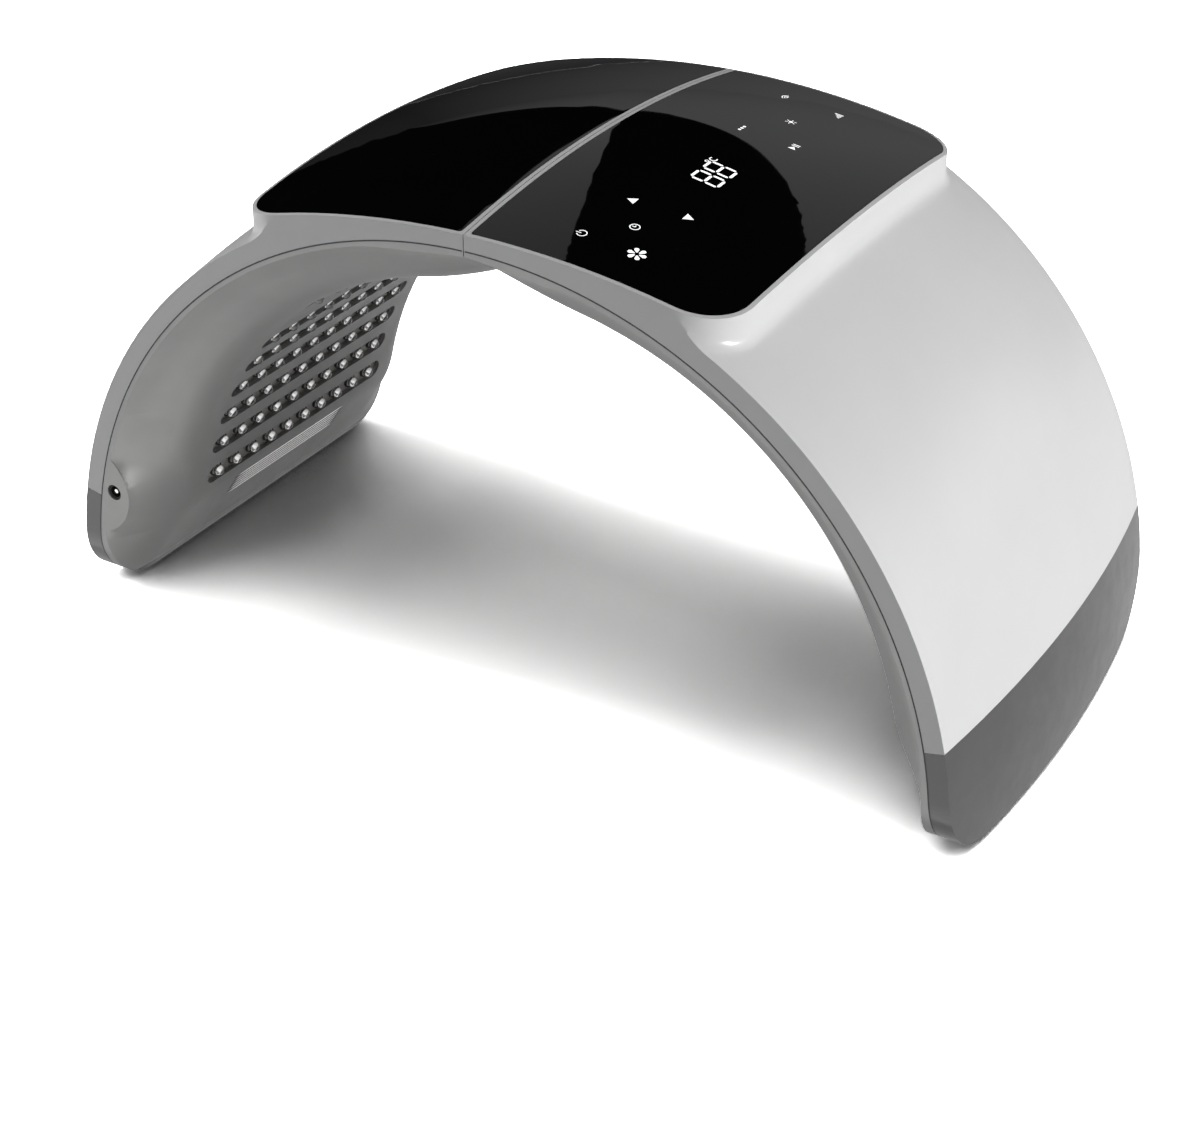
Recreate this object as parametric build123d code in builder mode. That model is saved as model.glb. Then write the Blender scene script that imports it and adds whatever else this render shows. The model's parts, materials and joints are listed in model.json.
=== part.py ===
from build123d import *
import math
import os

os.makedirs("parts", exist_ok=True)

# Folding light arch in two halves, lengths in millimetres and angles in degrees.
# X runs along the span, Y along the depth with the front at negative Y, and Z is up.
# The arch bends about an axis parallel to Y, and angles are counted up from the floor about it.

# The whole arch
depth = 225.0
skin_radius = 216.0
crown_height = 9.0
band = 8.5
rim_strip = 2.2
flare_rise = 24.8
axis_height = 10.0
wall = 2.5
seam_gap = 0.4
seam_wall = 5.5
overrun = 5.0

# Feet and their caps
foot_level = 2.5
foot_wall = 4.0
foot_corner = 32.0
foot_thickness = 12.0
cap_angle = 12.6

# Raised top that carries the glass
plate_radius = 405.0
plate_drop = 1.9
plateau_length = 115.5
plateau_corner = 23.0
plateau_bow = 3.5
plateau_depth = 60.0
blend_size = 8.0
blend_share = 0.98
skin_start_angle = 73.0
glass_thickness = 1.6
glass_lip = 1.8
glass_clearance = 0.15
glass_bond = 0.1
glass_seam_corner = 1.5
level_share = 1e-6

# Inner side: a panel on a cylinder, slopes at its two ends and flares to the rims
flare_run = 36.5
slope_low_angle = 10.5
slope_high_angle = 77.0
slope_softness = 9.0
pull_share = 2 / 3
hinge_drop = 16.3
# How far the flare has run from the panel to the rim, and how far it has come up there
flare_shares = ((-0.12, 0.0), (0.0, 0.0), (0.2, 0.05), (0.4, 0.22), (0.6, 0.5), (0.8, 0.78), (1.0, 1.0), (1.2, 1.22))

# Rows of lights
row_low_angle = 13.1
row_pitch_angle = 5.6
row_places = 10
blank_place = 6
slot_spare = 4.0
slot_width = 9.5
lights_per_row = 10
row_margin = 8.5
lens_radius = 2.9
lens_height = 5.0
lens_tip_radius = 1.5
lens_sides = 8
board_lap = 3.5
board_width = 13.0
board_thickness = 1.2
board_clearance = 0.5

# Air slots near the feet and near the hinge
foot_vents = 5
foot_vent_length = 88.0
foot_vent_width = 1.2
foot_vent_pitch = 2.6
foot_vent_start = 7.0
seam_vent_angles = (68.3, 70.6)
seam_vent_length = 17.0
seam_vent_width = 2.5
seam_vent_margin = 24.0

# Rubber pads and the screws that they hide
pad_length = 20.0
pad_width = 10.0
pad_margin = 0.5
pad_inset = 9.0
pad_seat = 0.8
pad_clearance = 0.1
foot_screw_radius = 1.5
foot_screw_head_radius = 2.8
foot_screw_head_height = 1.6
foot_screw_length = 12.0
foot_boss_radius = 3.6
foot_boss_height = 11.5
foot_web = 2.4
screw_sides = 8
screw_clearance = 0.05
head_clearance = 0.15
bore_spare = 0.8
pad_bevel = 0.8

# Hinges
hinge_spacing = 110.0
hinge_length = 44.0
hinge_knuckles = 5
knuckle_radius = 3.8
pin_radius = 1.9
pin_clearance = 0.05
knuckle_gap = 0.3
leaf_thickness = 2.0
leaf_height = 26.0
leaf_corner = 2.0
pin_head_radius = 2.8
pin_head = 0.8
leaf_clearance = 0.15
barrel_clearance = 0.5
leaf_screw_radius = 1.4
leaf_screw_head_radius = 2.6
leaf_screw_length = 8.0
leaf_screw_spacing = 28.0
leaf_screw_low = 12.5
leaf_screw_high = 22.3
leaf_screw_head = 1.2
leaf_boss_radius = 2.9
leaf_boss_length = 5.0

# Fans behind the lower slots
fan_size = 40.0
fan_thickness = 10.0
fan_place = 18.8
fan_standoff = 3.5
fan_corner = 3.0
fan_bore_radius = 18.4
fan_blade_radius = 17.0
fan_hub_radius = 7.5
fan_blades = 7
fan_blade_thickness = 1.0
fan_blade_chord = 9.0
fan_root_pitch = 46.0
fan_tip_pitch = 30.0
fan_spoke_width = 2.4
fan_spoke_thickness = 1.4
fan_hub_height = 7.0
fan_running_gap = 0.6
fan_axle_radius = 1.5
fan_bush_radius = 3.0
fan_bush_height = 0.6
fan_axle_clearance = 0.05
fan_post_radius = 2.2
fan_post_spacing = 32.0
fan_screw_radius = 1.3
fan_screw_head_radius = 2.4
fan_screw_head_height = 1.5
fan_screw_grip = 3.0

# Socket for the power plug, in a round land on the left half's front rim
land_inset = 1.6
land_angle = 12.9
land_radius = 22.5
land_run = 24.0
land_taper = 12.0
jack_inset = 15.4
jack_angle = 14.0
jack_body_radius = 3.7
jack_body_length = 13.0
jack_recess = 1.0
jack_hole_radius = 2.8
jack_hole_depth = 9.5
jack_pin_radius = 1.0
jack_pin_length = 9.0
jack_pin_root = 2.0
jack_clearance = 0.1
jack_flange_radius = 5.0
jack_flange = 1.5

# Sensor behind a round disc in the right half's blank row
sensor_radius = 5.6
sensor_margin = 15.0
sensor_proud = 0.3
sensor_flange_radius = 7.0
sensor_flange = 1.0
sensor_clearance = 0.15
sensor_board_side = 16.0

# Control board, display and driver board
board_gap = 9.0
control_length = 66.0
control_width = 84.0
circuit_thickness = 1.6
control_post_radius = 3.0
post_inset = 5.0
board_inset = 56.5
display_offset = -18.5
display_length = 22.0
display_width = 30.0
display_height = 6.5
display_bezel = 1.0
chip_side = 12.0
chip_height = 1.8
chip_place = (22.0, 15.0)
buzzer_radius = 6.0
buzzer_height = 6.0
buzzer_place = (30.0, -15.0)
driver_angle = 27.1
driver_inset = 10.0
driver_length = 46.0
driver_width = 62.0
driver_offset = -42.0
coil_radius = 7.0
coil_core_radius = 3.0
coil_height = 8.0
coil_offset = 14.0
board_screw_radius = 1.1
board_screw_grip = 4.0
board_screw_head_radius = 2.1
board_screw_head = 1.2

# Tongues of the outer shell behind the cap
tongue_count = 3
tongue_spacing = 62.0
tongue_width = 14.0
tongue_thickness = 1.5
tongue_clearance = 0.3
tongue_reach = 5.0

half_depth = depth / 2
panel_half_depth = half_depth - flare_run
sensor_offset = panel_half_depth - sensor_margin
seam_vent_offset = panel_half_depth - seam_vent_margin
parting_radius = skin_radius - band
rim_radius = parting_radius - rim_strip
panel_radius = rim_radius - flare_rise
foot_inner_reach = math.sqrt(skin_radius ** 2 - (axis_height - foot_level) ** 2) - foot_thickness
plate_edge_level = axis_height + skin_radius - plate_drop
crown_radius = (half_depth ** 2 + crown_height ** 2) / (2 * crown_height)
plate_axis_height = plate_edge_level - plate_radius
rim_top = axis_height + rim_radius
hinge_height = rim_top - hinge_drop
bow_radius = (half_depth ** 2 + plateau_bow ** 2) / (2 * plateau_bow)
skin_start = plateau_length - bow_radius + math.sqrt((bow_radius - plateau_corner) ** 2
                                                     - (half_depth - plateau_corner) ** 2)
step_height = (math.sqrt(plate_radius ** 2 - skin_start ** 2) + plate_axis_height - axis_height
               - math.sqrt(skin_radius ** 2 - skin_start ** 2))
blend_radius = min(blend_size, blend_share * step_height)
seam_face = seam_gap / 2
seam_inside = seam_face + seam_wall
foot_floor_top = foot_level + foot_wall
pad_reach = foot_inner_reach + pad_inset
pad_spacing = depth - 2 * (foot_corner + pad_margin) - pad_length
pad_top = foot_level + pad_seat
arch_axis = Axis((0, 0, axis_height), (0, 1, 0))
plate_axis = Axis((0, 0, plate_axis_height), (0, 1, 0))
row_angles = [row_low_angle + row_pitch_angle * place for place in range(row_places) if place != blank_place]
blank_angle = row_low_angle + row_pitch_angle * blank_place
light_pitch = 2 * (panel_half_depth - row_margin) / lights_per_row
slot_length = lights_per_row * light_pitch + slot_spare
board_length = slot_length + 2 * board_lap
board_radius = panel_radius + wall + board_clearance
knuckle_pitch = hinge_length / hinge_knuckles
hinge_places = (-hinge_spacing / 2, hinge_spacing / 2)
fan_base = wall + fan_standoff
leaf_bottom = seam_face + leaf_thickness + leaf_clearance
leaf_boss_run = seam_inside + leaf_boss_length - leaf_bottom
leaf_bore_radius = leaf_screw_radius + screw_clearance
leaf_bore_run = seam_face + leaf_screw_length + bore_spare
board_angle = math.degrees(math.acos((plateau_length - board_inset) / plate_radius))
driver_radial = skin_radius - driver_inset
plate_floor = plate_radius + crown_height - glass_thickness - glass_bond - wall


def crown(y):
    """Rise of the skin at y over its height at the front edge."""
    return math.sqrt(crown_radius ** 2 - y ** 2) - (crown_radius - crown_height)


def arch_point(radius, angle):
    """X and Z of a point at a distance from the arch's axis."""
    turn = math.radians(angle)
    return radius * math.cos(turn), axis_height + radius * math.sin(turn)


def radial_plane(angle):
    """Plane through the arch's axis, its x along the depth and its y away from the axis."""
    turn = math.radians(angle)
    return Plane(origin=(0, 0, axis_height), x_dir=(0, 1, 0), z_dir=(math.sin(turn), 0, -math.cos(turn)))


def tangent_plane(radius, angle, y=0, centre=axis_height, inward=False):
    """Plane that touches a cylinder parallel to the depth, its x along the depth."""
    turn = math.radians(angle)
    facing = -1 if inward else 1
    origin = (radius * math.cos(turn), y, centre + radius * math.sin(turn))
    return Plane(origin=origin, x_dir=(0, 1, 0), z_dir=(facing * math.cos(turn), 0, facing * math.sin(turn)))


def front_plane(y):
    """Upright plane across the depth, its x along the span and its y up."""
    return Plane.XZ.offset(-y)


def slope_plane(distance, rise=0, facing=1):
    """Plane along the foot slope, at a distance below the panel and a rise into the housing."""
    low, foot = arch_point(panel_radius, slope_low_angle), (foot_inner_reach, foot_level)
    run = math.dist(low, foot)
    down_x, down_z = (foot[0] - low[0]) / run, (foot[1] - low[1]) / run
    origin = (low[0] + distance * down_x - rise * down_z, 0, low[1] + distance * down_z + rise * down_x)
    return Plane(origin=origin, x_dir=(0, 1, 0), z_dir=(-facing * down_z, 0, facing * down_x))


def corner_planes(plane, across, along):
    """Four planes at the corners of a rectangle on a plane, facing the same way."""
    corners = [(x, y, 0) for x in (-across / 2, across / 2) for y in (-along / 2, along / 2)]
    return [Plane(origin=plane.from_local_coords(corner), x_dir=plane.x_dir, z_dir=plane.z_dir) for corner in corners]


def foot_planes(level):
    """Level planes under the pads' middles, facing up."""
    return [Plane(origin=(pad_reach, y, level)) for y in (-pad_spacing / 2, pad_spacing / 2)]


def bars(planes, radius, length, sides=0):
    """Bars that stand on planes, round unless sides are given: bosses, bores, heads and shanks."""
    with BuildPart() as group:
        for plane in planes:
            with BuildSketch(plane):
                if sides:
                    RegularPolygon(radius, sides)
                else:
                    Circle(radius)
        extrude(amount=length)
    return group.part


def screws(planes, radius, length, head_radius, head):
    """Small screws with flat heads, their tops on planes that face along the shanks."""
    with BuildPart() as group:
        add(bars(planes, head_radius, head, screw_sides))
        add(bars(planes, radius, length, screw_sides))
    return group.part


def crowned_block(plane, axis, radius, reach, floor, arc):
    """Solid under a crowned skin, turned about an axis parallel to the depth."""
    with BuildPart() as block:
        with BuildSketch(plane):
            with BuildLine():
                edge = radius + crown(reach)
                ThreePointArc((-reach, edge), (0, radius + crown(0)), (reach, edge))
                Polyline((reach, edge), (reach, floor), (-reach, floor), (-reach, edge))
            make_face()
        revolve(axis=axis, revolution_arc=arc)
    return block.part


def skin_block(inset, reach):
    """Solid under the arched skin, set in by an inset, from the raised top down past the foot."""
    return crowned_block(radial_plane(skin_start_angle), arch_axis, skin_radius - inset, reach,
                         panel_radius - 2 * overrun, skin_start_angle + overrun)


def plate_block(drop, reach):
    """Solid under the raised top's crowned surface, lowered by a drop."""
    turn = math.degrees(math.asin((plateau_length + 2 * overrun) / plate_radius))
    start = Plane(origin=(0, 0, plate_axis_height), x_dir=(0, 1, 0), z_dir=(1, 0, 0))
    return crowned_block(start, plate_axis, plate_radius - drop, reach, plate_radius - plateau_depth, turn)


def plan_prism(low_x, high_x, reach, corner, seam_corner=0):
    """Upright prism over the raised top, its outer edge bowed between two rounded corners."""
    edge_radius = bow_radius + high_x - plateau_length
    end_x = high_x - edge_radius + math.sqrt(edge_radius ** 2 - reach ** 2)
    with BuildPart() as prism:
        with BuildSketch(Plane.XY.offset(plate_edge_level - plateau_depth)) as plan:
            with BuildLine():
                Polyline((end_x, reach), (low_x, reach), (low_x, -reach), (end_x, -reach))
                ThreePointArc((end_x, -reach), (high_x, 0), (end_x, reach))
            make_face()
            fillet(plan.vertices().group_by(Axis.X)[-1], corner)
            if seam_corner:
                fillet(plan.vertices().group_by(Axis.X)[0], seam_corner)
        extrude(amount=2 * plateau_depth)
    return prism.part


def foot_prism(inset, end_wall, floor):
    """Prism along the span with the feet's two rounded corners."""
    top = plate_edge_level + plateau_depth
    with BuildPart() as prism:
        with BuildSketch(Plane.YZ.offset(seam_face + end_wall)) as outline:
            with Locations((0, (floor + top) / 2)):
                Rectangle(depth - 2 * inset, top - floor)
            fillet(outline.vertices().group_by(Axis.Y)[0], foot_corner - inset)
        extrude(amount=skin_radius + crown_height + overrun)
    return prism.part


def under_profile(share, grow):
    """Corner points of the open space under the arch, where the flare has come up by a share."""
    radius = panel_radius + share * (rim_radius - panel_radius) + grow
    rim_foot = math.sqrt(rim_radius ** 2 - (axis_height - foot_level) ** 2)
    low_x, low_z = arch_point(radius, slope_low_angle)
    high_x, high_z = arch_point(radius, slope_high_angle)
    foot_x = foot_inner_reach + share * (rim_foot - foot_inner_reach)
    seam_z = hinge_height + share * (rim_top - hinge_height)
    foot_x += grow * math.hypot(foot_x - low_x, low_z - foot_level) / (low_z - foot_level)
    seam_z += grow * math.hypot(high_x, seam_z - high_z) / high_x
    return radius, (foot_x, foot_level), (low_x, low_z), (high_x, high_z), (0, seam_z)


def beyond(start, end, run):
    """Point past the end of a line from start to end."""
    length = math.dist(start, end)
    return tuple(b + (b - a) * run / length for a, b in zip(start, end))


def under_section(y, share, grow):
    """Face of the open space under the arch at one depth, with soft turns at both ends of the panel."""
    radius, foot, low, high, seam = under_profile(share, grow)
    turn = math.degrees(slope_softness / radius)
    ease = slope_softness * pull_share
    below, past = beyond(low, foot, 2 * overrun), beyond(high, seam, 2 * overrun)
    low_line, high_line = beyond(foot, low, -slope_softness), beyond(seam, high, -slope_softness)
    low_arc, high_arc = arch_point(radius, slope_low_angle + turn), arch_point(radius, slope_high_angle - turn)
    middle = arch_point(radius, (slope_low_angle + slope_high_angle) / 2)
    low_pull = arch_point(math.hypot(radius, ease), slope_low_angle + turn - math.degrees(math.atan(ease / radius)))
    high_pull = arch_point(math.hypot(radius, ease), slope_high_angle - turn + math.degrees(math.atan(ease / radius)))
    with BuildSketch(front_plane(y)) as section:
        with BuildLine():
            Line((past[0], below[1]), below)
            Line(below, low_line)
            Bezier(low_line, beyond(foot, low_line, ease), low_pull, low_arc)
            ThreePointArc(low_arc, middle, high_arc)
            Bezier(high_arc, high_pull, beyond(seam, high_line, ease), high_line)
            Line(high_line, past)
            Line(past, (past[0], below[1]))
        make_face()
    return section.sketch


def under_space(grow):
    """The open space under the arch, flaring towards the front and the back."""
    with BuildPart() as flare:
        for run, share in flare_shares:
            add(under_section(panel_half_depth + run * flare_run + grow * (1 - share) / 2, share, grow))
        loft()
    inner_end = panel_half_depth + flare_shares[0][0] * flare_run + grow / 2
    with BuildPart() as space:
        extrude(under_section(-inner_end, 0, grow), amount=2 * inner_end, dir=(0, 1, 0))
        add(flare.part)
        add(flare.part.mirror(Plane.XZ))
    return space.part


def half_body(inset, drop, end_wall, floor):
    """One whole half as a filled body, set in from its outside."""
    reach = half_depth - inset
    skin = skin_block(inset, reach if inset else reach + plateau_corner + blend_radius)
    top = plate_block(drop, reach) & plan_prism(-overrun, plateau_length - inset, reach, plateau_corner - inset)
    with BuildPart() as body:
        add(skin)
        with BuildSketch(Plane.YZ.offset(skin_start)):
            Rectangle(4 * depth, 4 * depth)
        extrude(amount=-skin_radius, mode=Mode.SUBTRACT)
        add(top)
        if not inset:
            walls = body.faces().filter_by(lambda f: abs(f.normal_at().Z) < level_share)
            walls = walls.filter_by(lambda f: skin_start < f.center().X < plateau_length + overrun)
            walls = walls.filter_by(lambda f: abs(f.center().Y) < reach)
            steps = [f.edges().filter_by(GeomType.LINE, reverse=True).sort_by(Axis.Z)[0] for f in walls]
            fillet(steps, blend_radius)
        add(foot_prism(inset, end_wall, floor), mode=Mode.INTERSECT)
    return body.part


def leaf_screw_planes(x, height):
    """Planes of the leaf screws at one height, two a hinge."""
    sides = (-leaf_screw_spacing / 2, leaf_screw_spacing / 2)
    origins = [(x, place + side, hinge_height + height) for place in hinge_places for side in sides]
    return [Plane(origin=origin, x_dir=(0, 1, 0), z_dir=(1, 0, 0)) for origin in origins]


def barrels(places, radius, length):
    """Round bars along the hinge axis, centred at places along the depth."""
    ends = [(0, y + length / 2, hinge_height) for y in places]
    return bars([Plane(origin=end, x_dir=(1, 0, 0), z_dir=(0, -1, 0)) for end in ends], radius, length)


def leaf_blocks(low_x, high_x, spare):
    """Upright slabs of both hinges beside the seam, grown by a clearance at their edges."""
    with BuildPart() as slabs:
        with BuildSketch(Plane.YZ.offset(low_x)) as outline:
            with Locations(*[(y, hinge_height + (leaf_height + spare) / 2) for y in hinge_places]):
                Rectangle(hinge_length + 2 * spare, leaf_height + spare)
            fillet(outline.vertices().group_by(Axis.Y)[-1], leaf_corner)
        extrude(amount=high_x - low_x)
    return slabs.part


def hinge_leaves(knuckles):
    """Leaves of the right half's side with the knuckles named, for both hinges."""
    first = (knuckle_pitch - hinge_length) / 2
    own = [y + first + knuckle_pitch * k for y in hinge_places for k in range(hinge_knuckles) if k in knuckles]
    other = [y + first + knuckle_pitch * k for y in hinge_places for k in range(hinge_knuckles) if k not in knuckles]
    with BuildPart() as leaves:
        add(leaf_blocks(seam_face, seam_face + leaf_thickness, 0))
        add(barrels(other, knuckle_radius + knuckle_gap, knuckle_pitch + knuckle_gap), mode=Mode.SUBTRACT)
        add(barrels(own, knuckle_radius, knuckle_pitch - knuckle_gap))
        add(barrels(hinge_places, pin_radius + pin_clearance, hinge_length + overrun), mode=Mode.SUBTRACT)
        for height in (leaf_screw_low, leaf_screw_high):
            planes = leaf_screw_planes(seam_face, height)
            add(bars(planes, leaf_screw_radius + screw_clearance, leaf_thickness), mode=Mode.SUBTRACT)
            add(bars(planes, leaf_screw_head_radius + head_clearance, leaf_screw_head), mode=Mode.SUBTRACT)
    return leaves.part


def rim_planes(inset, angle, behind):
    """Plane at a distance behind the front rim, set in from the skin, facing into the housing."""
    x, z = arch_point(skin_radius - inset, angle)
    return [Plane(origin=(x, behind - half_depth, z), x_dir=(1, 0, 0), z_dir=(0, 1, 0))]


def board_plane(level):
    """Plane along the control board at a level over the underside of the raised top's floor."""
    return tangent_plane(plate_floor + level, board_angle, 0, plate_axis_height)


# The filled half, its hollow and the open space under the arch
outside = half_body(0, 0, 0, foot_level)
hollow = half_body(wall, glass_thickness + glass_bond + wall, seam_wall, foot_floor_top)
under = under_space(0)
under_grown = under_space(wall)

with BuildPart() as cavity:
    add(hollow)
    add(under_grown, mode=Mode.SUBTRACT)

with BuildPart() as casing:
    add(outside)
    add(under, mode=Mode.SUBTRACT)
    add(cavity.part, mode=Mode.SUBTRACT)

with BuildPart() as parting:
    with BuildSketch(front_plane(-depth)):
        with Locations((0, axis_height)):
            Circle(parting_radius)
    extrude(amount=-2 * depth)

with BuildPart() as cap_zone:
    with BuildSketch(radial_plane(cap_angle)):
        Rectangle(2 * depth, 4 * depth)
    extrude(amount=2 * depth)

with BuildPart() as foot_zone:
    with BuildSketch(Plane.XY.offset(foot_floor_top)):
        Rectangle(4 * depth, 2 * depth)
    extrude(amount=-depth)

# Room for the hinges in the seam walls
barrel_room = hinge_length + 2 * (pin_head + barrel_clearance)
with BuildPart() as hinge_room:
    add(leaf_blocks(-seam_face, leaf_bottom, leaf_clearance))
    add(barrels(hinge_places, knuckle_radius + barrel_clearance, barrel_room))

# Glass plate and the recess that holds it
with BuildPart() as glass_recess:
    add(plan_prism(seam_face + glass_lip, plateau_length - glass_lip, half_depth - glass_lip,
                   plateau_corner - glass_lip, glass_seam_corner))
    add(plate_block(glass_thickness + glass_bond, half_depth), mode=Mode.SUBTRACT)

glass_edge = glass_lip + glass_clearance
with BuildPart() as right_glass_plate:
    add(plan_prism(seam_face + glass_edge, plateau_length - glass_edge, half_depth - glass_edge,
                   plateau_corner - glass_edge, glass_seam_corner))
    add(plate_block(0, half_depth), mode=Mode.INTERSECT)
    add(plate_block(glass_thickness, half_depth), mode=Mode.SUBTRACT)

# Outer shell with its glass recess, hinge bosses and the tongues that reach behind the cap
with BuildPart() as tongues:
    add(skin_block(wall - tongue_clearance, half_depth))
    add(skin_block(wall + tongue_clearance + tongue_thickness, half_depth), mode=Mode.SUBTRACT)
    with BuildSketch(tangent_plane(skin_radius, cap_angle)):
        with GridLocations(tongue_spacing, 0, tongue_count, 1):
            Rectangle(tongue_width, 2 * tongue_reach)
    extrude(amount=2 * overrun, both=True, mode=Mode.INTERSECT)

with BuildPart() as cap_skin:
    add(skin_block(0, half_depth))
    add(skin_block(wall + tongue_clearance, half_depth), mode=Mode.SUBTRACT)
    add(cap_zone.part, mode=Mode.INTERSECT)

with BuildPart() as outer_wall:
    add(casing.part)
    add(parting.part, mode=Mode.SUBTRACT)
    add(cap_zone.part, mode=Mode.SUBTRACT)

with BuildPart() as outer_shell:
    add(outer_wall.part)
    add(hinge_room.part, mode=Mode.SUBTRACT)
    add(glass_recess.part, mode=Mode.SUBTRACT)
    add(bars(leaf_screw_planes(leaf_bottom, leaf_screw_high), leaf_boss_radius, leaf_boss_run))
    add(bars(leaf_screw_planes(0, leaf_screw_high), leaf_bore_radius, leaf_bore_run), mode=Mode.SUBTRACT)
    add(tongues.part)
    add(cap_skin.part, mode=Mode.SUBTRACT)

# Inner shell with light slots, air slots and the bosses behind it
with BuildPart() as inner_wall:
    add(casing.part)
    add(parting.part, mode=Mode.INTERSECT)
    add(foot_zone.part, mode=Mode.SUBTRACT)

with BuildPart() as foot_bosses:
    with BuildSketch(Plane.XY.offset(foot_floor_top)):
        with Locations(*[(pad_reach, y) for y in (-pad_spacing / 2, pad_spacing / 2)]):
            Circle(foot_boss_radius)
            with Locations((-pad_inset, 0)):
                Rectangle(2 * pad_inset, foot_web)
    extrude(amount=foot_boss_height)
    add(under, mode=Mode.SUBTRACT)

with BuildPart() as inner_shell:
    add(inner_wall.part)
    add(hinge_room.part, mode=Mode.SUBTRACT)
    for angle in row_angles:
        with BuildSketch(tangent_plane(panel_radius - overrun, angle)):
            SlotOverall(slot_length, slot_width)
    for angle in seam_vent_angles:
        with BuildSketch(tangent_plane(panel_radius - overrun, angle, -seam_vent_offset)):
            SlotOverall(seam_vent_length, seam_vent_width)
    for place in range(foot_vents):
        with BuildSketch(slope_plane(foot_vent_start + place * foot_vent_pitch, -overrun)):
            SlotOverall(foot_vent_length, foot_vent_width)
    extrude(amount=wall + 2 * overrun, mode=Mode.SUBTRACT)
    add(bars(leaf_screw_planes(leaf_bottom, leaf_screw_low), leaf_boss_radius, leaf_boss_run))
    add(bars(leaf_screw_planes(0, leaf_screw_low), leaf_bore_radius, leaf_bore_run), mode=Mode.SUBTRACT)
    add(foot_bosses.part)
    add(bars(foot_planes(foot_level), foot_screw_radius + screw_clearance, pad_seat + foot_screw_length + bore_spare),
        mode=Mode.SUBTRACT)
    add(bars(corner_planes(slope_plane(fan_place, wall / 2), fan_post_spacing, fan_post_spacing),
             fan_post_radius, fan_base - wall / 2))
    add(bars(corner_planes(slope_plane(fan_place, fan_base, -1), fan_post_spacing, fan_post_spacing),
             fan_screw_radius + screw_clearance, fan_screw_grip + bore_spare), mode=Mode.SUBTRACT)

with BuildPart() as right_inner_shell:
    add(inner_shell.part)
    add(bars([tangent_plane(panel_radius - overrun, blank_angle, -sensor_offset)], sensor_radius + sensor_clearance,
             wall + 2 * overrun), mode=Mode.SUBTRACT)

# Foot cap with its pad seats and screw holes
with BuildPart() as right_foot_cap:
    add(casing.part)
    add(outer_wall.part, mode=Mode.SUBTRACT)
    add(inner_wall.part, mode=Mode.SUBTRACT)
    with BuildSketch(Plane.XY.offset(foot_level)):
        with Locations(*[(pad_reach, y) for y in (-pad_spacing / 2, pad_spacing / 2)]):
            SlotOverall(pad_length + 2 * pad_clearance, pad_width + 2 * pad_clearance, rotation=90)
    extrude(amount=pad_seat, mode=Mode.SUBTRACT)
    add(bars(foot_planes(foot_level), foot_screw_radius + screw_clearance, foot_wall), mode=Mode.SUBTRACT)
    add(bars(foot_planes(foot_level), foot_screw_head_radius + head_clearance, pad_seat + foot_screw_head_height),
        mode=Mode.SUBTRACT)

with BuildPart() as right_rubber_feet:
    with BuildSketch(Plane.XY):
        with Locations(*[(pad_reach, y) for y in (-pad_spacing / 2, pad_spacing / 2)]):
            SlotOverall(pad_length, pad_width, rotation=90)
    extrude(amount=pad_top)
    chamfer(right_rubber_feet.edges().group_by(Axis.Z)[0], pad_bevel)

with BuildPart() as right_foot_screws:
    add(screws(foot_planes(pad_top), foot_screw_radius, foot_screw_length, foot_screw_head_radius,
               foot_screw_head_height))

# Lights: a circuit strip behind each slot with its clear domes standing through it
with BuildPart() as right_led_boards:
    for angle in row_angles:
        with BuildSketch(tangent_plane(board_radius, angle)):
            Rectangle(board_length, board_width)
    extrude(amount=board_thickness)

with BuildPart() as lens:
    for height, radius in ((0, lens_radius), (lens_height, lens_tip_radius)):
        with BuildSketch(Plane.XY.offset(height)):
            RegularPolygon(radius, lens_sides)
    loft()

with BuildPart() as right_led_lenses:
    for angle in row_angles:
        with Locations(tangent_plane(board_radius, angle, inward=True)):
            with GridLocations(light_pitch, 0, lights_per_row, 1):
                add(lens.part)

# Hinges
with BuildPart() as right_hinge_leaves:
    add(hinge_leaves((0, 2, 4)))

with BuildPart() as left_hinge_leaves:
    mirror(hinge_leaves((1, 3)), about=Plane.YZ)

with BuildPart() as right_hinge_screws:
    for height in (leaf_screw_low, leaf_screw_high):
        add(screws(leaf_screw_planes(seam_face, height), leaf_screw_radius, leaf_screw_length,
                   leaf_screw_head_radius, leaf_screw_head))

with BuildPart() as hinge_pins:
    add(barrels(hinge_places, pin_radius, hinge_length + 2 * pin_head))
    ends = [y + side * (hinge_length + pin_head) / 2 for y in hinge_places for side in (-1, 1)]
    add(barrels(ends, pin_head_radius, pin_head))

# Fan behind the air slots
fan_plane = slope_plane(fan_place, fan_base)
with BuildPart() as right_fan_frame:
    with BuildSketch(fan_plane):
        RectangleRounded(fan_size, fan_size, fan_corner)
        Circle(fan_bore_radius, mode=Mode.SUBTRACT)
    extrude(amount=fan_thickness)
    with BuildSketch(slope_plane(fan_place, fan_base + fan_thickness - fan_spoke_thickness)):
        Circle(fan_hub_radius)
        Rectangle(2 * fan_bore_radius + fan_spoke_width, fan_spoke_width)
        Rectangle(fan_spoke_width, 2 * fan_bore_radius + fan_spoke_width)
    extrude(amount=fan_spoke_thickness)
    add(bars([slope_plane(fan_place, fan_base + fan_thickness - fan_spoke_thickness - fan_bush_height)],
             fan_bush_radius, fan_bush_height))
    add(bars([fan_plane], fan_axle_radius + fan_axle_clearance, fan_thickness), mode=Mode.SUBTRACT)
    add(bars(corner_planes(fan_plane, fan_post_spacing, fan_post_spacing), fan_screw_radius + screw_clearance,
             fan_thickness), mode=Mode.SUBTRACT)

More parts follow.
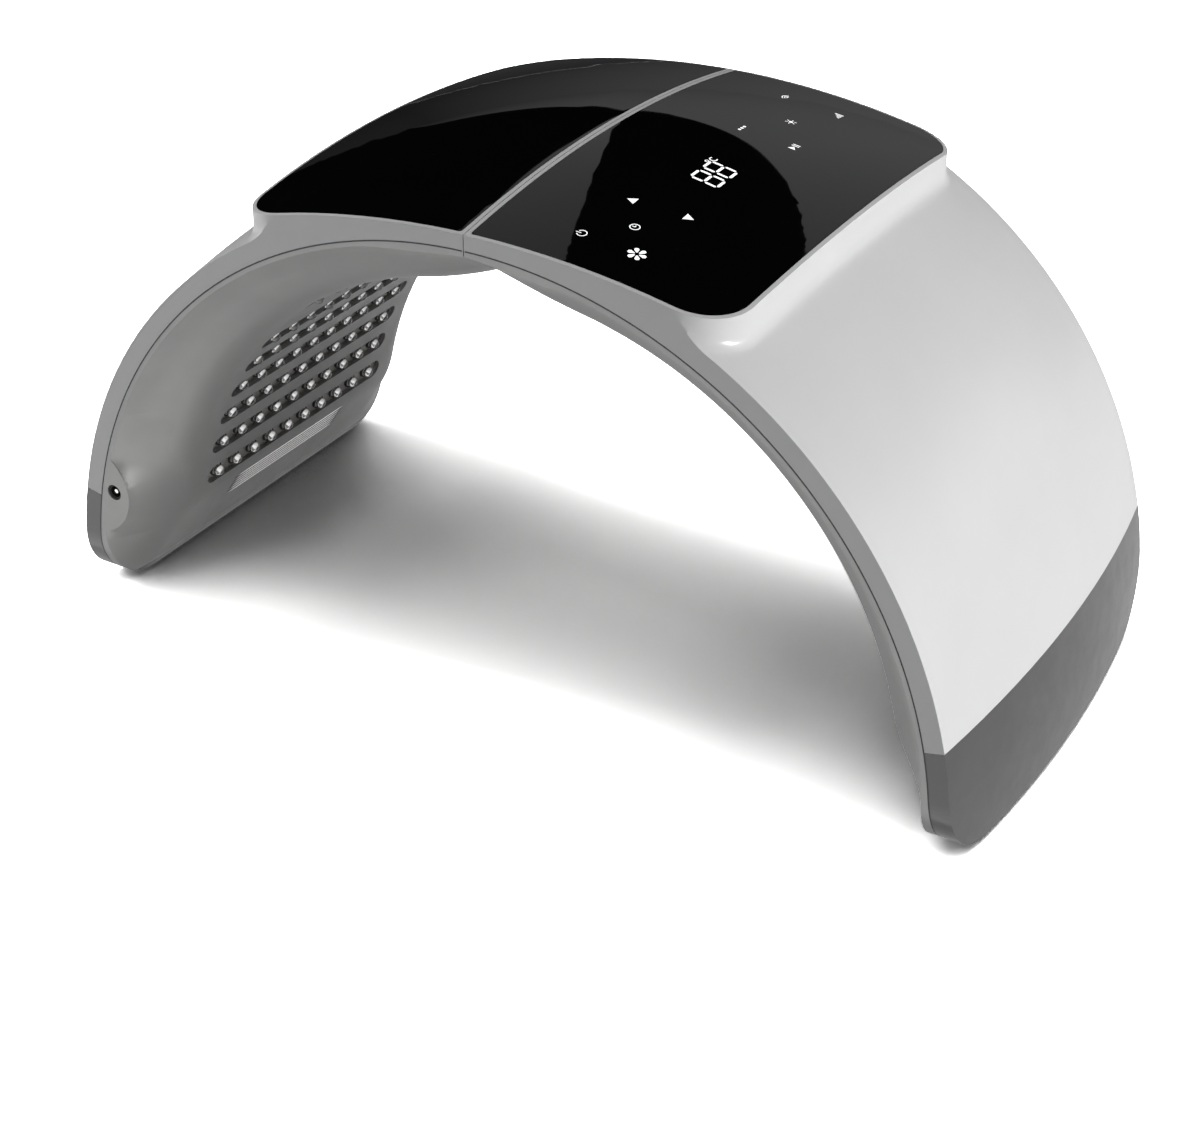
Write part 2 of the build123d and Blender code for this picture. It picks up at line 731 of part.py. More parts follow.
with BuildPart() as fan_blade:
    for radius, pitch in ((fan_hub_radius - fan_blade_thickness, fan_root_pitch), (fan_blade_radius, fan_tip_pitch)):
        turn = math.radians(pitch)
        with BuildSketch(Plane(origin=(radius, 0, 0), x_dir=(0, math.cos(turn), math.sin(turn)), z_dir=(1, 0, 0))):
            Rectangle(fan_blade_chord, fan_blade_thickness)
    loft()

with BuildPart(slope_plane(fan_place, fan_base + fan_running_gap)) as right_fan_rotor:
    with Locations((0, 0, fan_hub_height / 2)):
        Cylinder(fan_hub_radius, fan_hub_height)
        with PolarLocations(0, fan_blades):
            add(fan_blade.part)
    with Locations((0, 0, (fan_thickness - fan_running_gap) / 2)):
        Cylinder(fan_axle_radius, fan_thickness - fan_running_gap)

with BuildPart() as right_fan_screws:
    add(screws(corner_planes(slope_plane(fan_place, fan_base + fan_thickness + fan_screw_head_height, -1),
                             fan_post_spacing, fan_post_spacing),
               fan_screw_radius, fan_screw_head_height + fan_thickness + fan_screw_grip,
               fan_screw_head_radius, fan_screw_head_height))

# Sensor disc in the row place without lights, and its board
with BuildPart() as sensor_window:
    add(bars([tangent_plane(panel_radius - sensor_proud, blank_angle, -sensor_offset)], sensor_radius,
             sensor_proud + wall + sensor_clearance))
    add(bars([tangent_plane(panel_radius + wall + sensor_clearance, blank_angle, -sensor_offset)],
             sensor_flange_radius, sensor_flange))

with BuildPart() as sensor_board:
    with BuildSketch(tangent_plane(board_radius + sensor_flange, blank_angle, -sensor_offset)):
        Rectangle(sensor_board_side, sensor_board_side)
    extrude(amount=circuit_thickness)

# Control board with its display, chip and buzzer, under a window in the raised top
control_span, control_depth = control_length - 2 * post_inset, control_width - 2 * post_inset
with BuildPart() as control_board:
    with BuildSketch(board_plane(-board_gap - circuit_thickness)):
        Rectangle(control_width, control_length)
    extrude(amount=circuit_thickness)
    with BuildSketch(board_plane(-board_gap)):
        with Locations(chip_place):
            Rectangle(chip_side, chip_side)
    extrude(amount=chip_height)
    add(bars(corner_planes(board_plane(-board_gap - circuit_thickness), control_depth, control_span),
             board_screw_radius + screw_clearance, circuit_thickness), mode=Mode.SUBTRACT)

with BuildPart() as display_module:
    with BuildSketch(board_plane(-board_gap)):
        with Locations((display_offset, 0)):
            Rectangle(display_width, display_length)
    extrude(amount=display_height)

with BuildPart() as buzzer:
    with BuildSketch(board_plane(-board_gap)):
        with Locations(buzzer_place):
            Circle(buzzer_radius)
    extrude(amount=buzzer_height)

with BuildPart() as right_outer_shell:
    add(outer_shell.part)
    add(bars(corner_planes(board_plane(-board_gap), control_depth, control_span), control_post_radius, board_gap))
    add(bars(corner_planes(board_plane(-board_gap), control_depth, control_span),
             board_screw_radius + screw_clearance, board_screw_grip + bore_spare), mode=Mode.SUBTRACT)
    with BuildSketch(board_plane(-overrun)):
        with Locations((display_offset, 0)):
            Rectangle(display_width - 2 * display_bezel, display_length - 2 * display_bezel)
    extrude(amount=2 * overrun, mode=Mode.SUBTRACT)

with BuildPart() as right_board_screws:
    add(screws(corner_planes(board_plane(-board_gap - circuit_thickness - board_screw_head), control_depth, control_span),
               board_screw_radius, board_screw_head + circuit_thickness + board_screw_grip,
               board_screw_head_radius, board_screw_head))

# Driver board of the left half with its coil, drawn on the right side and mirrored below
driver_top = driver_radial + circuit_thickness
driver_span, driver_depth = driver_length - 2 * post_inset, driver_width - 2 * post_inset
driver_plane = tangent_plane(driver_radial, driver_angle, driver_offset)
driver_face = tangent_plane(driver_top, driver_angle, driver_offset)
with BuildPart() as driver_board:
    with BuildSketch(driver_plane):
        Rectangle(driver_width, driver_length)
    extrude(amount=circuit_thickness)
    with BuildSketch(driver_face):
        with Locations((-coil_offset, 0)):
            Rectangle(chip_side, chip_side)
    extrude(amount=chip_height)
    add(bars(corner_planes(driver_plane, driver_depth, driver_span), board_screw_radius + screw_clearance,
             circuit_thickness), mode=Mode.SUBTRACT)

with BuildPart() as driver_coil:
    with BuildSketch(driver_face):
        with Locations((coil_offset, 0)):
            Circle(coil_radius)
            Circle(coil_core_radius, mode=Mode.SUBTRACT)
    extrude(amount=coil_height)

with BuildPart() as driver_posts:
    add(bars(corner_planes(driver_face, driver_depth, driver_span), control_post_radius,
             skin_radius + crown_height - driver_top))
    add(skin_block(wall / 2, half_depth), mode=Mode.INTERSECT)
    add(bars(corner_planes(driver_face, driver_depth, driver_span), board_screw_radius + screw_clearance,
             board_screw_grip + bore_spare), mode=Mode.SUBTRACT)

with BuildPart() as driver_outer_shell:
    add(outer_shell.part)
    add(driver_posts.part)

with BuildPart() as driver_screws:
    add(screws(corner_planes(tangent_plane(driver_radial - board_screw_head, driver_angle, driver_offset),
                             driver_depth, driver_span),
               board_screw_radius, board_screw_head + circuit_thickness + board_screw_grip,
               board_screw_head_radius, board_screw_head))

# Power socket in the round land of the left half's front rim, drawn on the right side and mirrored below
with BuildPart() as land:
    with BuildSketch(*rim_planes(land_inset, land_angle, 0)):
        Circle(land_radius)
    extrude(amount=land_run, taper=-land_taper)
    add(under_grown, mode=Mode.INTERSECT)
    add(parting.part, mode=Mode.INTERSECT)

with BuildPart() as land_hollow:
    with BuildSketch(*rim_planes(land_inset, land_angle, wall)):
        Circle(land_radius - wall)
    extrude(amount=land_run - 2 * wall, taper=-land_taper)

with BuildPart() as socket_inner_shell:
    add(inner_shell.part)
    add(land.part)
    add(land_hollow.part, mode=Mode.SUBTRACT)
    add(bars(rim_planes(jack_inset, jack_angle, -overrun), jack_body_radius + jack_clearance, 2 * overrun + wall),
        mode=Mode.SUBTRACT)

with BuildPart() as jack_body:
    add(bars(rim_planes(jack_inset, jack_angle, jack_recess), jack_body_radius, jack_body_length))
    add(bars(rim_planes(jack_inset, jack_angle, wall + jack_clearance), jack_flange_radius, jack_flange))
    add(bars(rim_planes(jack_inset, jack_angle, jack_recess), jack_hole_radius, jack_hole_depth), mode=Mode.SUBTRACT)
    add(bars(rim_planes(jack_inset, jack_angle, jack_recess), jack_pin_radius, jack_hole_depth + jack_pin_root),
        mode=Mode.SUBTRACT)

with BuildPart() as jack_pin:
    add(bars(rim_planes(jack_inset, jack_angle, jack_recess + jack_hole_depth - jack_pin_length), jack_pin_radius,
             jack_pin_length + jack_pin_root))


def save(piece, name):
    """Label a finished piece and write it under its name."""
    piece.label = name
    export_step(piece, f"parts/{name}.step")


def save_mirrored(piece, name):
    """Write the mirror image of a piece, on the left half."""
    with BuildPart() as left:
        mirror(piece, about=Plane.YZ)
    save(left.part, name)


pairs = {
    "foot_cap": right_foot_cap.part,
    "rubber_feet": right_rubber_feet.part,
    "foot_screws": right_foot_screws.part,
    "glass_plate": right_glass_plate.part,
    "led_boards": right_led_boards.part,
    "led_lenses": right_led_lenses.part,
    "hinge_screws": right_hinge_screws.part,
    "fan_frame": right_fan_frame.part,
    "fan_rotor": right_fan_rotor.part,
    "fan_screws": right_fan_screws.part,
}
for name, piece in pairs.items():
    save(piece, "right_" + name)
    save_mirrored(piece, "left_" + name)

right_only = {
    "right_outer_shell": right_outer_shell.part,
    "right_inner_shell": right_inner_shell.part,
    "right_hinge_leaves": right_hinge_leaves.part,
    "hinge_pins": hinge_pins.part,
    "sensor_window": sensor_window.part,
    "sensor_board": sensor_board.part,
    "control_board": control_board.part,
    "display_module": display_module.part,
    "buzzer": buzzer.part,
    "control_board_screws": right_board_screws.part,
}
for name, piece in right_only.items():
    save(piece, name)

left_only = {
    "left_outer_shell": driver_outer_shell.part,
    "left_inner_shell": socket_inner_shell.part,
    "dc_jack_body": jack_body.part,
    "dc_jack_pin": jack_pin.part,
    "driver_board": driver_board.part,
    "driver_coil": driver_coil.part,
    "driver_board_screws": driver_screws.part,
}
for name, piece in left_only.items():
    save_mirrored(piece, name)
save(left_hinge_leaves.part, "left_hinge_leaves")
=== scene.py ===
import bpy
import bmesh
import json
import math
import numpy as np
from mathutils import Matrix, Vector
from mathutils.bvhtree import BVHTree


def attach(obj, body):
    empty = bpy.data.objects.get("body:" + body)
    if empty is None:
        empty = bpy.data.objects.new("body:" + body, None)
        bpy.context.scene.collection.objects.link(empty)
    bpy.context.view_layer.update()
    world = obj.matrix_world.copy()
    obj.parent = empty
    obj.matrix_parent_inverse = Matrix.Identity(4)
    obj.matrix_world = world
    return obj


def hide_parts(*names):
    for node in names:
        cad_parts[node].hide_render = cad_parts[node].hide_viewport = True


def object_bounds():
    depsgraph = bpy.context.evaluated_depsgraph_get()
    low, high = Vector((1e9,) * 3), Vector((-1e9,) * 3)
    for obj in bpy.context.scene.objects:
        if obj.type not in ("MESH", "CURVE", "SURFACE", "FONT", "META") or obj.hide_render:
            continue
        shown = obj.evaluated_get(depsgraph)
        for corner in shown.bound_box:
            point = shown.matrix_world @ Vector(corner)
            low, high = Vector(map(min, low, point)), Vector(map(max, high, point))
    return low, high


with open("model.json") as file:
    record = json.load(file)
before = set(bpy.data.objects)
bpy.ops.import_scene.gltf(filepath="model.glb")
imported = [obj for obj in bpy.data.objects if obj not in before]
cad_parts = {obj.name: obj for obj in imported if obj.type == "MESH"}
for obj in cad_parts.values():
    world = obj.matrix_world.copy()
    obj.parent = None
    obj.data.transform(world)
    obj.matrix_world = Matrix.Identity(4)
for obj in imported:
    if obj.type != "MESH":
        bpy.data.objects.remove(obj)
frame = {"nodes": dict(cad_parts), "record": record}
cad_low, cad_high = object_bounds()
nodes = frame["nodes"]
MM = 0.001
HALVES = (("right", 1), ("left", -1))
fold = next(joint for joint in frame["record"]["behaviour"]["joints"] if joint["name"] == "fold")

# Sizes of the arch, in millimetres
DEPTH = round((cad_high[1] - cad_low[1]) / MM, 1)
CROWN = 9.0
CROWN_RADIUS = ((DEPTH / 2) ** 2 + CROWN ** 2) / (2 * CROWN)
AXIS_HEIGHT = 10.0
HINGE_HEIGHT = round(fold["pos_m"][2] / MM, 1)
PLATE_RADIUS = 405.0
PLATE_EDGE_LEVEL = 224.1
PARTING_RADIUS = 207.5
PANEL_RADIUS = 180.5
BOARD_RADIUS = 183.5
FLARE_START = 76.0
FLARE_RUN = 36.5
FLARE_RISE = 24.8
FLARE_SHARES = ((-0.2, 0.0), (0.0, 0.0), (0.2, 0.05), (0.4, 0.22), (0.6, 0.5), (0.8, 0.78), (1.0, 1.0),
                (1.2, 1.22))

# Rows of lights
ROW_LOW = 13.1
ROW_PITCH = 5.6
BLANK_PLACE = 6
ROW_ANGLES = [ROW_LOW + ROW_PITCH * place for place in range(10) if place != BLANK_PLACE]
LIGHT_PITCH = 13.5
LIGHTS = 10
DOME_RADIUS, DOME_MIDDLE, DOME_RISE = 2.48, 2.45, 2.5
DOME_PROFILE = [(0.0, 0.0), (2.9, 0.0), (2.9, 0.9), (2.75, 1.05), (2.5, 1.1), (DOME_RADIUS, 2.4)]
DOME_PROFILE += [(DOME_RADIUS * math.cos(turn), DOME_MIDDLE + DOME_RISE * math.sin(turn))
                 for turn in map(math.radians, (12, 25, 38, 52, 66, 79))]
DOME_PROFILE += [(0.0, DOME_MIDDLE + DOME_RISE)]
DOME_SIDES = 20
CUP_PROFILE = [(0.75, 1.1), (0.8, 1.4), (1.5, 2.3), (1.75, 2.3), (1.75, 1.0), (0.75, 1.0)]
CUP_SIDES = 12
DIE_PROFILE = [(0.75, 1.0), (0.75, 1.15), (0.0, 1.15)]
DIE_SIDES = 10
COLLAR_PROFILE = [(2.95, 0.0), (3.7, 0.0), (3.7, 0.9), (3.45, 1.2), (3.1, 1.2), (2.95, 1.0), (2.95, 0.0)]
COLLAR_SIDES = 16

# Foot: its corner, the slope on its inner side and the air slots there
FOOT_LEVEL = 2.5
FOOT_REACH = 203.87
FOOT_CORNER = 32.0
SLOPE_LOW = math.radians(10.5)
VENTS = 5
VENT_START = 7.0
VENT_PITCH = 2.6
VENT_HALF_WIDTH = 0.58
VENT_HALF_LENGTH = 43.3
# How far into each air slot the black strips of painted shade lie
SLOT_SHADE_DEPTH = 0.15
BEAD_START = 5.7
BEAD_HALF_LENGTH = 43.5
BEAD_STEPS = 24
BEAD_SECTION = ((-0.3, 0.15), (-0.22, -0.16), (0.0, -0.26), (0.22, -0.16), (0.3, 0.15))
BEAD_END_DEPTH = 0.05

# Edges that are rounded: the piece, the width and the least angle in degrees
EDGE_ANGLE = 32.0
SOFT_EDGES = (("outer_shell", 0.45, EDGE_ANGLE), ("inner_shell", 0.3, EDGE_ANGLE),
              ("foot_cap", 0.4, EDGE_ANGLE), ("glass_plate", 0.25, 40.0), ("rubber_feet", 0.25, EDGE_ANGLE))
SMALL_PIECES = ("dc_jack_body", "dc_jack_pin", "sensor_window")
SMALL_EDGE = 0.12

# How far a thin sheet stands off the surface under it
PROUD = 0.03

# Crown lining: places across count from the seam, the first one closes its side
LINING_WALL = 0.66
LINING_CLOSE = (0.7, 12.0, 12)
LINING_REACH = 56.0
LINING_WIDE = (13.2, LINING_REACH, 36)
LINING_ALONG = (-112.0, 112.0, 141)
LINING_FADE = 10.0
LINING_BELOW = 150.0
LINING_MOST = 12.0
LINING_LEAST = 0.02
LINING_EDGE = 0.1
SEAM_RISE_RUN = 38.0
FOLD_SLOPE = 0.95
CORNER_EASE = 0.2

# Blend at the socket in the left flare, on a grid of one millimetre
SOCKET_PLACE = (-194.65, 58.5)
SOCKET_CLEAR = 6.5
LAND_LEFT, LAND_RIGHT = -208.0, -152.0
LAND_LOW, LAND_HIGH = 30.0, 100.0
LAND_START = -130.0
LAND_DEPTH = 17.5
LAND_DEEPEST = 60.0
LAND_REACH = 206.0
LAND_ROUNDS = 90
LAND_LEAST = 0.04
LAND_PROUD = 0.02
LAND_EDGE = 0.05

# Black strip on the parting between inner and outer shell: painted shade for the shadow in the joint's gap
PARTING_SHADE_EDGES = (-0.42, 0.22)
PARTING_SHADE_STEPS = 140
PARTING_SHADE_START = 1.5
PARTING_SHADE_END = 89.85

# Marks on the right glass plate: places are x and y in the frame, shapes are as they are read
DIGIT_STARTS = (-9.0, 1.4)
DIGIT_WIDTH, DIGIT_HEIGHT, DIGIT_STROKE, DIGIT_GAP = 7.2, 12.6, 1.25, 0.45
DIGIT_SLANT = 0.12
DISPLAY_PLACE = (58.6, -18.5)
UNIT_PLACE, UNIT_SCALE = (52.0, -7.5), 0.9
ARROWS = (((43.4, -58.6), 1), ((67.7, -56.8), -1))
FAN_PLACE = (64.0, -91.3)
FAN_BLADES = 6
FAN_BLADE = [(1.0, -0.25), (3.0, -1.05), (3.9, -0.55), (3.9, 0.55), (3.0, 1.05), (1.0, 0.25)]
LINE = 0.42

# In metres: how close points are that are welded before edges are rounded
WELD = 2e-6

collection = bpy.context.scene.collection


# Materials
class Shader:
    """A principled material whose colour, roughness and bump come from noise in the object's own space."""

    def __init__(self, name):
        self.material = bpy.data.materials.new(name)
        self.material.use_nodes = True
        self.tree = self.material.node_tree
        self.body = self.tree.nodes["Principled BSDF"]
        self.place = self.tree.nodes.new("ShaderNodeTexCoord").outputs["Object"]

    def node(self, kind, **values):
        made = self.tree.nodes.new(kind)
        for key, value in values.items():
            setattr(made, key, value)
        return made

    def link(self, source, target):
        self.tree.links.new(source, target)

    def noise(self, scale, detail=3.0, roughness=0.5, stretch=None):
        made = self.node("ShaderNodeTexNoise")
        made.inputs["Scale"].default_value = scale
        made.inputs["Detail"].default_value = detail
        made.inputs["Roughness"].default_value = roughness
        place = self.place
        if stretch:
            mapping = self.node("ShaderNodeMapping")
            mapping.inputs["Scale"].default_value = stretch
            self.link(place, mapping.inputs["Vector"])
            place = mapping.outputs["Vector"]
        self.link(place, made.inputs["Vector"])
        return made.outputs["Fac"]

    def spread(self, value, low, high, start=0.3, end=0.7):
        made = self.node("ShaderNodeMapRange")
        made.inputs["From Min"].default_value = start
        made.inputs["From Max"].default_value = end
        made.inputs["To Min"].default_value = low
        made.inputs["To Max"].default_value = high
        self.link(value, made.inputs["Value"])
        return made.outputs["Result"]

    def ramp(self, value, stops):
        made = self.node("ShaderNodeValToRGB")
        edges = made.color_ramp.elements
        while len(edges) < len(stops):
            edges.new(0.5)
        for edge, (place, colour) in zip(edges, stops):
            edge.position = place
            edge.color = (*colour, 1.0)
        self.link(value, made.inputs["Fac"])
        return made.outputs["Color"]

    def bump(self, height, strength, distance, below=None):
        made = self.node("ShaderNodeBump")
        made.inputs["Strength"].default_value = strength
        made.inputs["Distance"].default_value = distance
        self.link(height, made.inputs["Height"])
        if below:
            self.link(below, made.inputs["Normal"])
        return made.outputs["Normal"]

    def set(self, **values):
        for key, value in values.items():
            self.body.inputs[key.replace("_", " ")].default_value = value

    def to(self, socket, source):
        self.link(source, self.body.inputs[socket])


def painted(name, low, high, metallic, rough, coat=0.0, coat_rough=0.1, flake=0.0, peel=0.05, grain=1400.0):
    """Moulded or painted plastic: slight colour drift, an uneven gloss and the skin that spraying leaves."""
    s = Shader(name)
    s.to("Base Color", s.ramp(s.noise(26.0, 4.0), ((0.3, low), (0.7, high))))
    s.to("Roughness", s.spread(s.noise(90.0, 5.0, 0.6), rough * 0.88, rough * 1.14))
    normal = s.bump(s.noise(grain, 2.0), peel, 0.0001)
    if flake:
        normal = s.bump(s.noise(9000.0, 1.0), flake, 0.00004, normal)
    s.to("Normal", normal)
    s.set(Metallic=metallic, Coat_Weight=coat, Coat_Roughness=coat_rough, Specular_IOR_Level=0.5)
    return s.material


def textured(name, low, high, rough, grain, depth, strength=0.6):
    """Plain moulded plastic or rubber with a fine eroded grain."""
    s = Shader(name)
    s.to("Base Color", s.ramp(s.noise(140.0, 5.0), ((0.3, low), (0.7, high))))
    s.to("Roughness", s.spread(s.noise(300.0, 4.0), rough - 0.06, rough + 0.08))
    s.to("Normal", s.bump(s.noise(grain, 3.0, 0.6), strength, depth))
    s.set(Specular_IOR_Level=0.4)
    return s.material


def turned(name, low, high, rough, stretch):
    """Steel with the fine lines that turning or rolling leaves."""
    s = Shader(name)
    lines = s.noise(900.0, 3.0, 0.6, stretch)
    s.to("Base Color", s.ramp(s.noise(200.0, 4.0), ((0.3, low), (0.7, high))))
    s.to("Roughness", s.spread(lines, rough - 0.08, rough + 0.1))
    s.to("Normal", s.bump(lines, 0.25, 0.00004))
    s.set(Metallic=1.0)
    return s.material


def circuit(name, base, light, rough):
    """Circuit board: solder mask with the slight relief of the tracks beneath it."""
    s = Shader(name)
    cells = s.node("ShaderNodeTexVoronoi", feature="F1", distance="MANHATTAN")
    cells.inputs["Scale"].default_value = 260.0
    s.link(s.place, cells.inputs["Vector"])
    tracks = s.spread(cells.outputs["Distance"], 0.0, 1.0, 0.42, 0.5)
    s.to("Base Color", s.ramp(tracks, ((0.0, base), (1.0, light))))
    s.to("Roughness", s.spread(s.noise(700.0), rough - 0.05, rough + 0.06))
    s.to("Normal", s.bump(tracks, 0.5, 0.00005))
    s.set(Specular_IOR_Level=0.5)
    return s.material


def clear(name, tint, rough, ior):
    """Clear moulded dome, a little uneven."""
    s = Shader(name)
    s.to("Base Color", s.ramp(s.noise(60.0), ((0.2, tint), (0.8, (1.0, 1.0, 1.0)))))
    s.to("Normal", s.bump(s.noise(500.0, 2.0), 0.06, 0.0002))
    s.set(Roughness=rough, IOR=ior, Transmission_Weight=1.0)
    return s.material


def glowing(name, colour, strength):
    """Mark that is lit from behind, a little brighter in places."""
    s = Shader(name)
    s.to("Base Color", s.ramp(s.noise(900.0, 2.0), ((0.2, colour), (0.8, (1.0, 1.0, 1.0)))))
    s.to("Emission Color", s.ramp(s.noise(300.0, 2.0), ((0.2, colour), (0.8, (1.0, 1.0, 1.0)))))
    s.set(Emission_Strength=strength, Roughness=0.4)
    return s.material


def black_glass(name, colour, rough):
    """Polished glass over a black print, with the faint wave of float glass."""
    s = Shader(name)
    lighter = tuple(c * 1.25 for c in colour)
    s.to("Base Color", s.ramp(s.noise(18.0, 2.0), ((0.3, colour), (0.7, lighter))))
    s.to("Roughness", s.spread(s.noise(40.0, 3.0), rough * 0.7, rough * 1.3))
    s.to("Normal", s.bump(s.noise(14.0, 1.0), 0.004, 0.0004))
    s.set(IOR=1.5, Coat_Weight=0.0)
    return s.material


looks = {
    "shell_white": painted("shell_white", (0.775, 0.775, 0.78), (0.795, 0.795, 0.80), 0.0, 0.32,
                           coat=0.3, coat_rough=0.15, peel=0.02, grain=700.0),
    "inner_silver": painted("inner_silver", (0.33, 0.33, 0.326), (0.37, 0.37, 0.365), 0.3, 0.42,
                            flake=0.2, peel=0.04),
    "cap_grey": painted("cap_grey", (0.054, 0.0525, 0.054), (0.068, 0.066, 0.068), 0.2, 0.34,
                        coat=0.45, coat_rough=0.12, flake=0.12, peel=0.03),
    "foot_rubber": textured("foot_rubber", (0.028, 0.028, 0.03), (0.04, 0.04, 0.042), 0.72, 2600.0, 0.00012),
    "screw_steel": turned("screw_steel", (0.50, 0.50, 0.51), (0.62, 0.62, 0.63), 0.34, (1.0, 1.0, 6.0)),
    "hinge_steel": turned("hinge_steel", (0.46, 0.46, 0.47), (0.58, 0.58, 0.59), 0.36, (6.0, 1.0, 1.0)),
    "black_glass": black_glass("black_glass", (0.0022, 0.0022, 0.0024), 0.025),
    "circuit_white": circuit("circuit_white", (0.60, 0.58, 0.54), (0.68, 0.66, 0.62), 0.45),
    "circuit_green": circuit("circuit_green", (0.012, 0.10, 0.035), (0.02, 0.16, 0.06), 0.35),
    "lens_clear": clear("lens_clear", (0.94, 0.95, 0.96), 0.03, 1.52),
    "black_plastic": textured("black_plastic", (0.018, 0.018, 0.018), (0.028, 0.028, 0.028), 0.5, 3200.0,
                              0.00006),
    "display_white": textured("display_white", (0.66, 0.66, 0.65), (0.74, 0.74, 0.73), 0.5, 1800.0,
                              0.00005, 0.4),
    "sensor_black": black_glass("sensor_black", (0.02, 0.018, 0.02), 0.12),
    "pin_nickel": turned("pin_nickel", (0.68, 0.67, 0.65), (0.80, 0.79, 0.77), 0.18, (1.0, 6.0, 1.0)),
    "coil_copper": turned("coil_copper", (0.50, 0.22, 0.10), (0.66, 0.33, 0.16), 0.3, (2.0, 2.0, 20.0)),
}
mark_light = glowing("mark_light", (0.92, 0.94, 0.95), 0.95)
bead_bright = painted("bead_bright", (0.93, 0.93, 0.92), (0.98, 0.98, 0.97), 0.85, 0.14)
die_bright = painted("die_bright", (0.90, 0.89, 0.87), (0.98, 0.98, 0.97), 0.9, 0.16)

slots = {entry["node"]: entry["material_slot"] for entry in frame["record"]["subparts"]}
bodies = {name: body for body, members in frame["record"]["behaviour"]["bodies"].items() for name in members}
for name, obj in nodes.items():
    obj.data.materials.clear()
    obj.data.materials.append(looks[slots[name]])


# Pieces
def add_piece(name, mesh, body, slot, material=None):
    """Links a mesh as a piece that rides on a body and takes the material given, or else a slot's finish."""
    obj = bpy.data.objects.new(name, mesh)
    collection.objects.link(obj)
    mesh.materials.clear()
    mesh.materials.append(material or looks[slot])
    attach(obj, body)
    return obj


def finish_mesh(shaped, name, angle=40.0):
    """Turns a bmesh into a smooth mesh that keeps its sharp edges."""
    mesh = bpy.data.meshes.new(name)
    bmesh.ops.recalc_face_normals(shaped, faces=shaped.faces)
    shaped.to_mesh(mesh)
    shaped.free()
    mesh.shade_smooth()
    mesh.set_sharp_from_angle(angle=math.radians(angle))
    return mesh


def soften(node, width, angle):
    """Replaces a node by a copy with its edges rounded, as they come from a mould."""
    mesh = nodes[node].data.copy()
    mesh.name = node + "_soft"
    shaped = bmesh.new()
    shaped.from_mesh(mesh)
    bmesh.ops.remove_doubles(shaped, verts=shaped.verts, dist=WELD)
    bmesh.ops.dissolve_degenerate(shaped, edges=shaped.edges, dist=WELD / 2)
    shaped.to_mesh(mesh)
    shaped.free()
    mesh.normals_split_custom_set([(0.0, 0.0, 0.0)] * len(mesh.loops))
    mesh.shade_smooth()
    mesh.set_sharp_from_angle(angle=math.radians(angle))
    obj = add_piece(node + "_soft", mesh, bodies[node], slots[node])
    bevel = obj.modifiers.new("edges", "BEVEL")
    bevel.width = width * MM
    bevel.segments = 2
    bevel.limit_method = "ANGLE"
    bevel.angle_limit = math.radians(angle)
    bevel.harden_normals = True
    bevel.use_clamp_overlap = True
    bevel.miter_outer = "MITER_ARC"
    weighted = obj.modifiers.new("normals", "WEIGHTED_NORMAL")
    weighted.keep_sharp = True
    weighted.weight = 90
    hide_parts(node)


# Lights
def light_places(sign):
    """Frames at the feet of the light domes, their z towards the open space."""
    for angle in ROW_ANGLES:
        turn = math.radians(angle)
        out = Vector((sign * math.cos(turn), 0, math.sin(turn)))
        along = Vector((0, 1, 0))
        for place in range(LIGHTS):
            y = (place - (LIGHTS - 1) / 2) * LIGHT_PITCH
            origin = Vector((0, y, AXIS_HEIGHT)) + out * BOARD_RADIUS
            across = along.cross(-out)
            rows = Matrix((along, across, -out)).transposed().to_4x4()
            yield Matrix.Translation(origin * MM) @ rows @ Matrix.Scale(MM, 4)


def lathe(shaped, profile, matrix, sides):
    """Adds a turned form to a bmesh: profile points are (radius, height), and no radius is the axis."""
    rings = []
    for radius, height in profile:
        if not radius:
            rings.append([shaped.verts.new(matrix @ Vector((0, 0, height)))])
            continue
        ring = []
        for k in range(sides):
            turn = 2 * math.pi * k / sides
            point = Vector((radius * math.cos(turn), radius * math.sin(turn), height))
            ring.append(shaped.verts.new(matrix @ point))
        rings.append(ring)
    for low, high in zip(rings, rings[1:]):
        for k in range(sides):
            after = (k + 1) % sides
            if len(high) == 1:
                shaped.faces.new((low[k], low[after], high[0]))
            elif len(low) == 1:
                shaped.faces.new((low[0], high[after], high[k]))
            else:
                shaped.faces.new((low[k], low[after], high[after], high[k]))


def add_lights(side, sign):
    """Clear domes over bright cups and dies, in dark collars, in place of the frame's studs."""
    domes, cups, collars = bmesh.new(), bmesh.new(), bmesh.new()
    for matrix in light_places(sign):
        lathe(domes, DOME_PROFILE, matrix, DOME_SIDES)
        lathe(cups, CUP_PROFILE, matrix, CUP_SIDES)
        lathe(collars, COLLAR_PROFILE, matrix, COLLAR_SIDES)
        lathe(collars, DIE_PROFILE, matrix, DIE_SIDES)
    name, body = side + "_light_domes", side + "_half"
    dome = add_piece(name, finish_mesh(domes, name, 50.0), body, "lens_clear")
    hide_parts(side + "_led_lenses")
    name = side + "_light_cups"
    add_piece(name, finish_mesh(cups, name), body, "pin_nickel", die_bright)
    name = side + "_light_collars"
    add_piece(name, finish_mesh(collars, name), body, "black_plastic")


# Sheets that lie over a surface of the frame
def surface(node):
    """Tree of a node's faces, for casting rays."""
    mesh = nodes[node].data
    return BVHTree.FromPolygons([v.co for v in mesh.vertices], [tuple(p.vertices) for p in mesh.polygons])


def cast(tree, starts, along):
    """Distance in millimetres from each start to the surface, or nothing where the ray misses."""
    depths = np.full(starts.shape[:2], np.nan)
    for index in np.ndindex(depths.shape):
        hit = tree.ray_cast(Vector(starts[index]) * MM, Vector(along))
        if hit[0] is not None:
            depths[index] = hit[3] / MM
    return depths


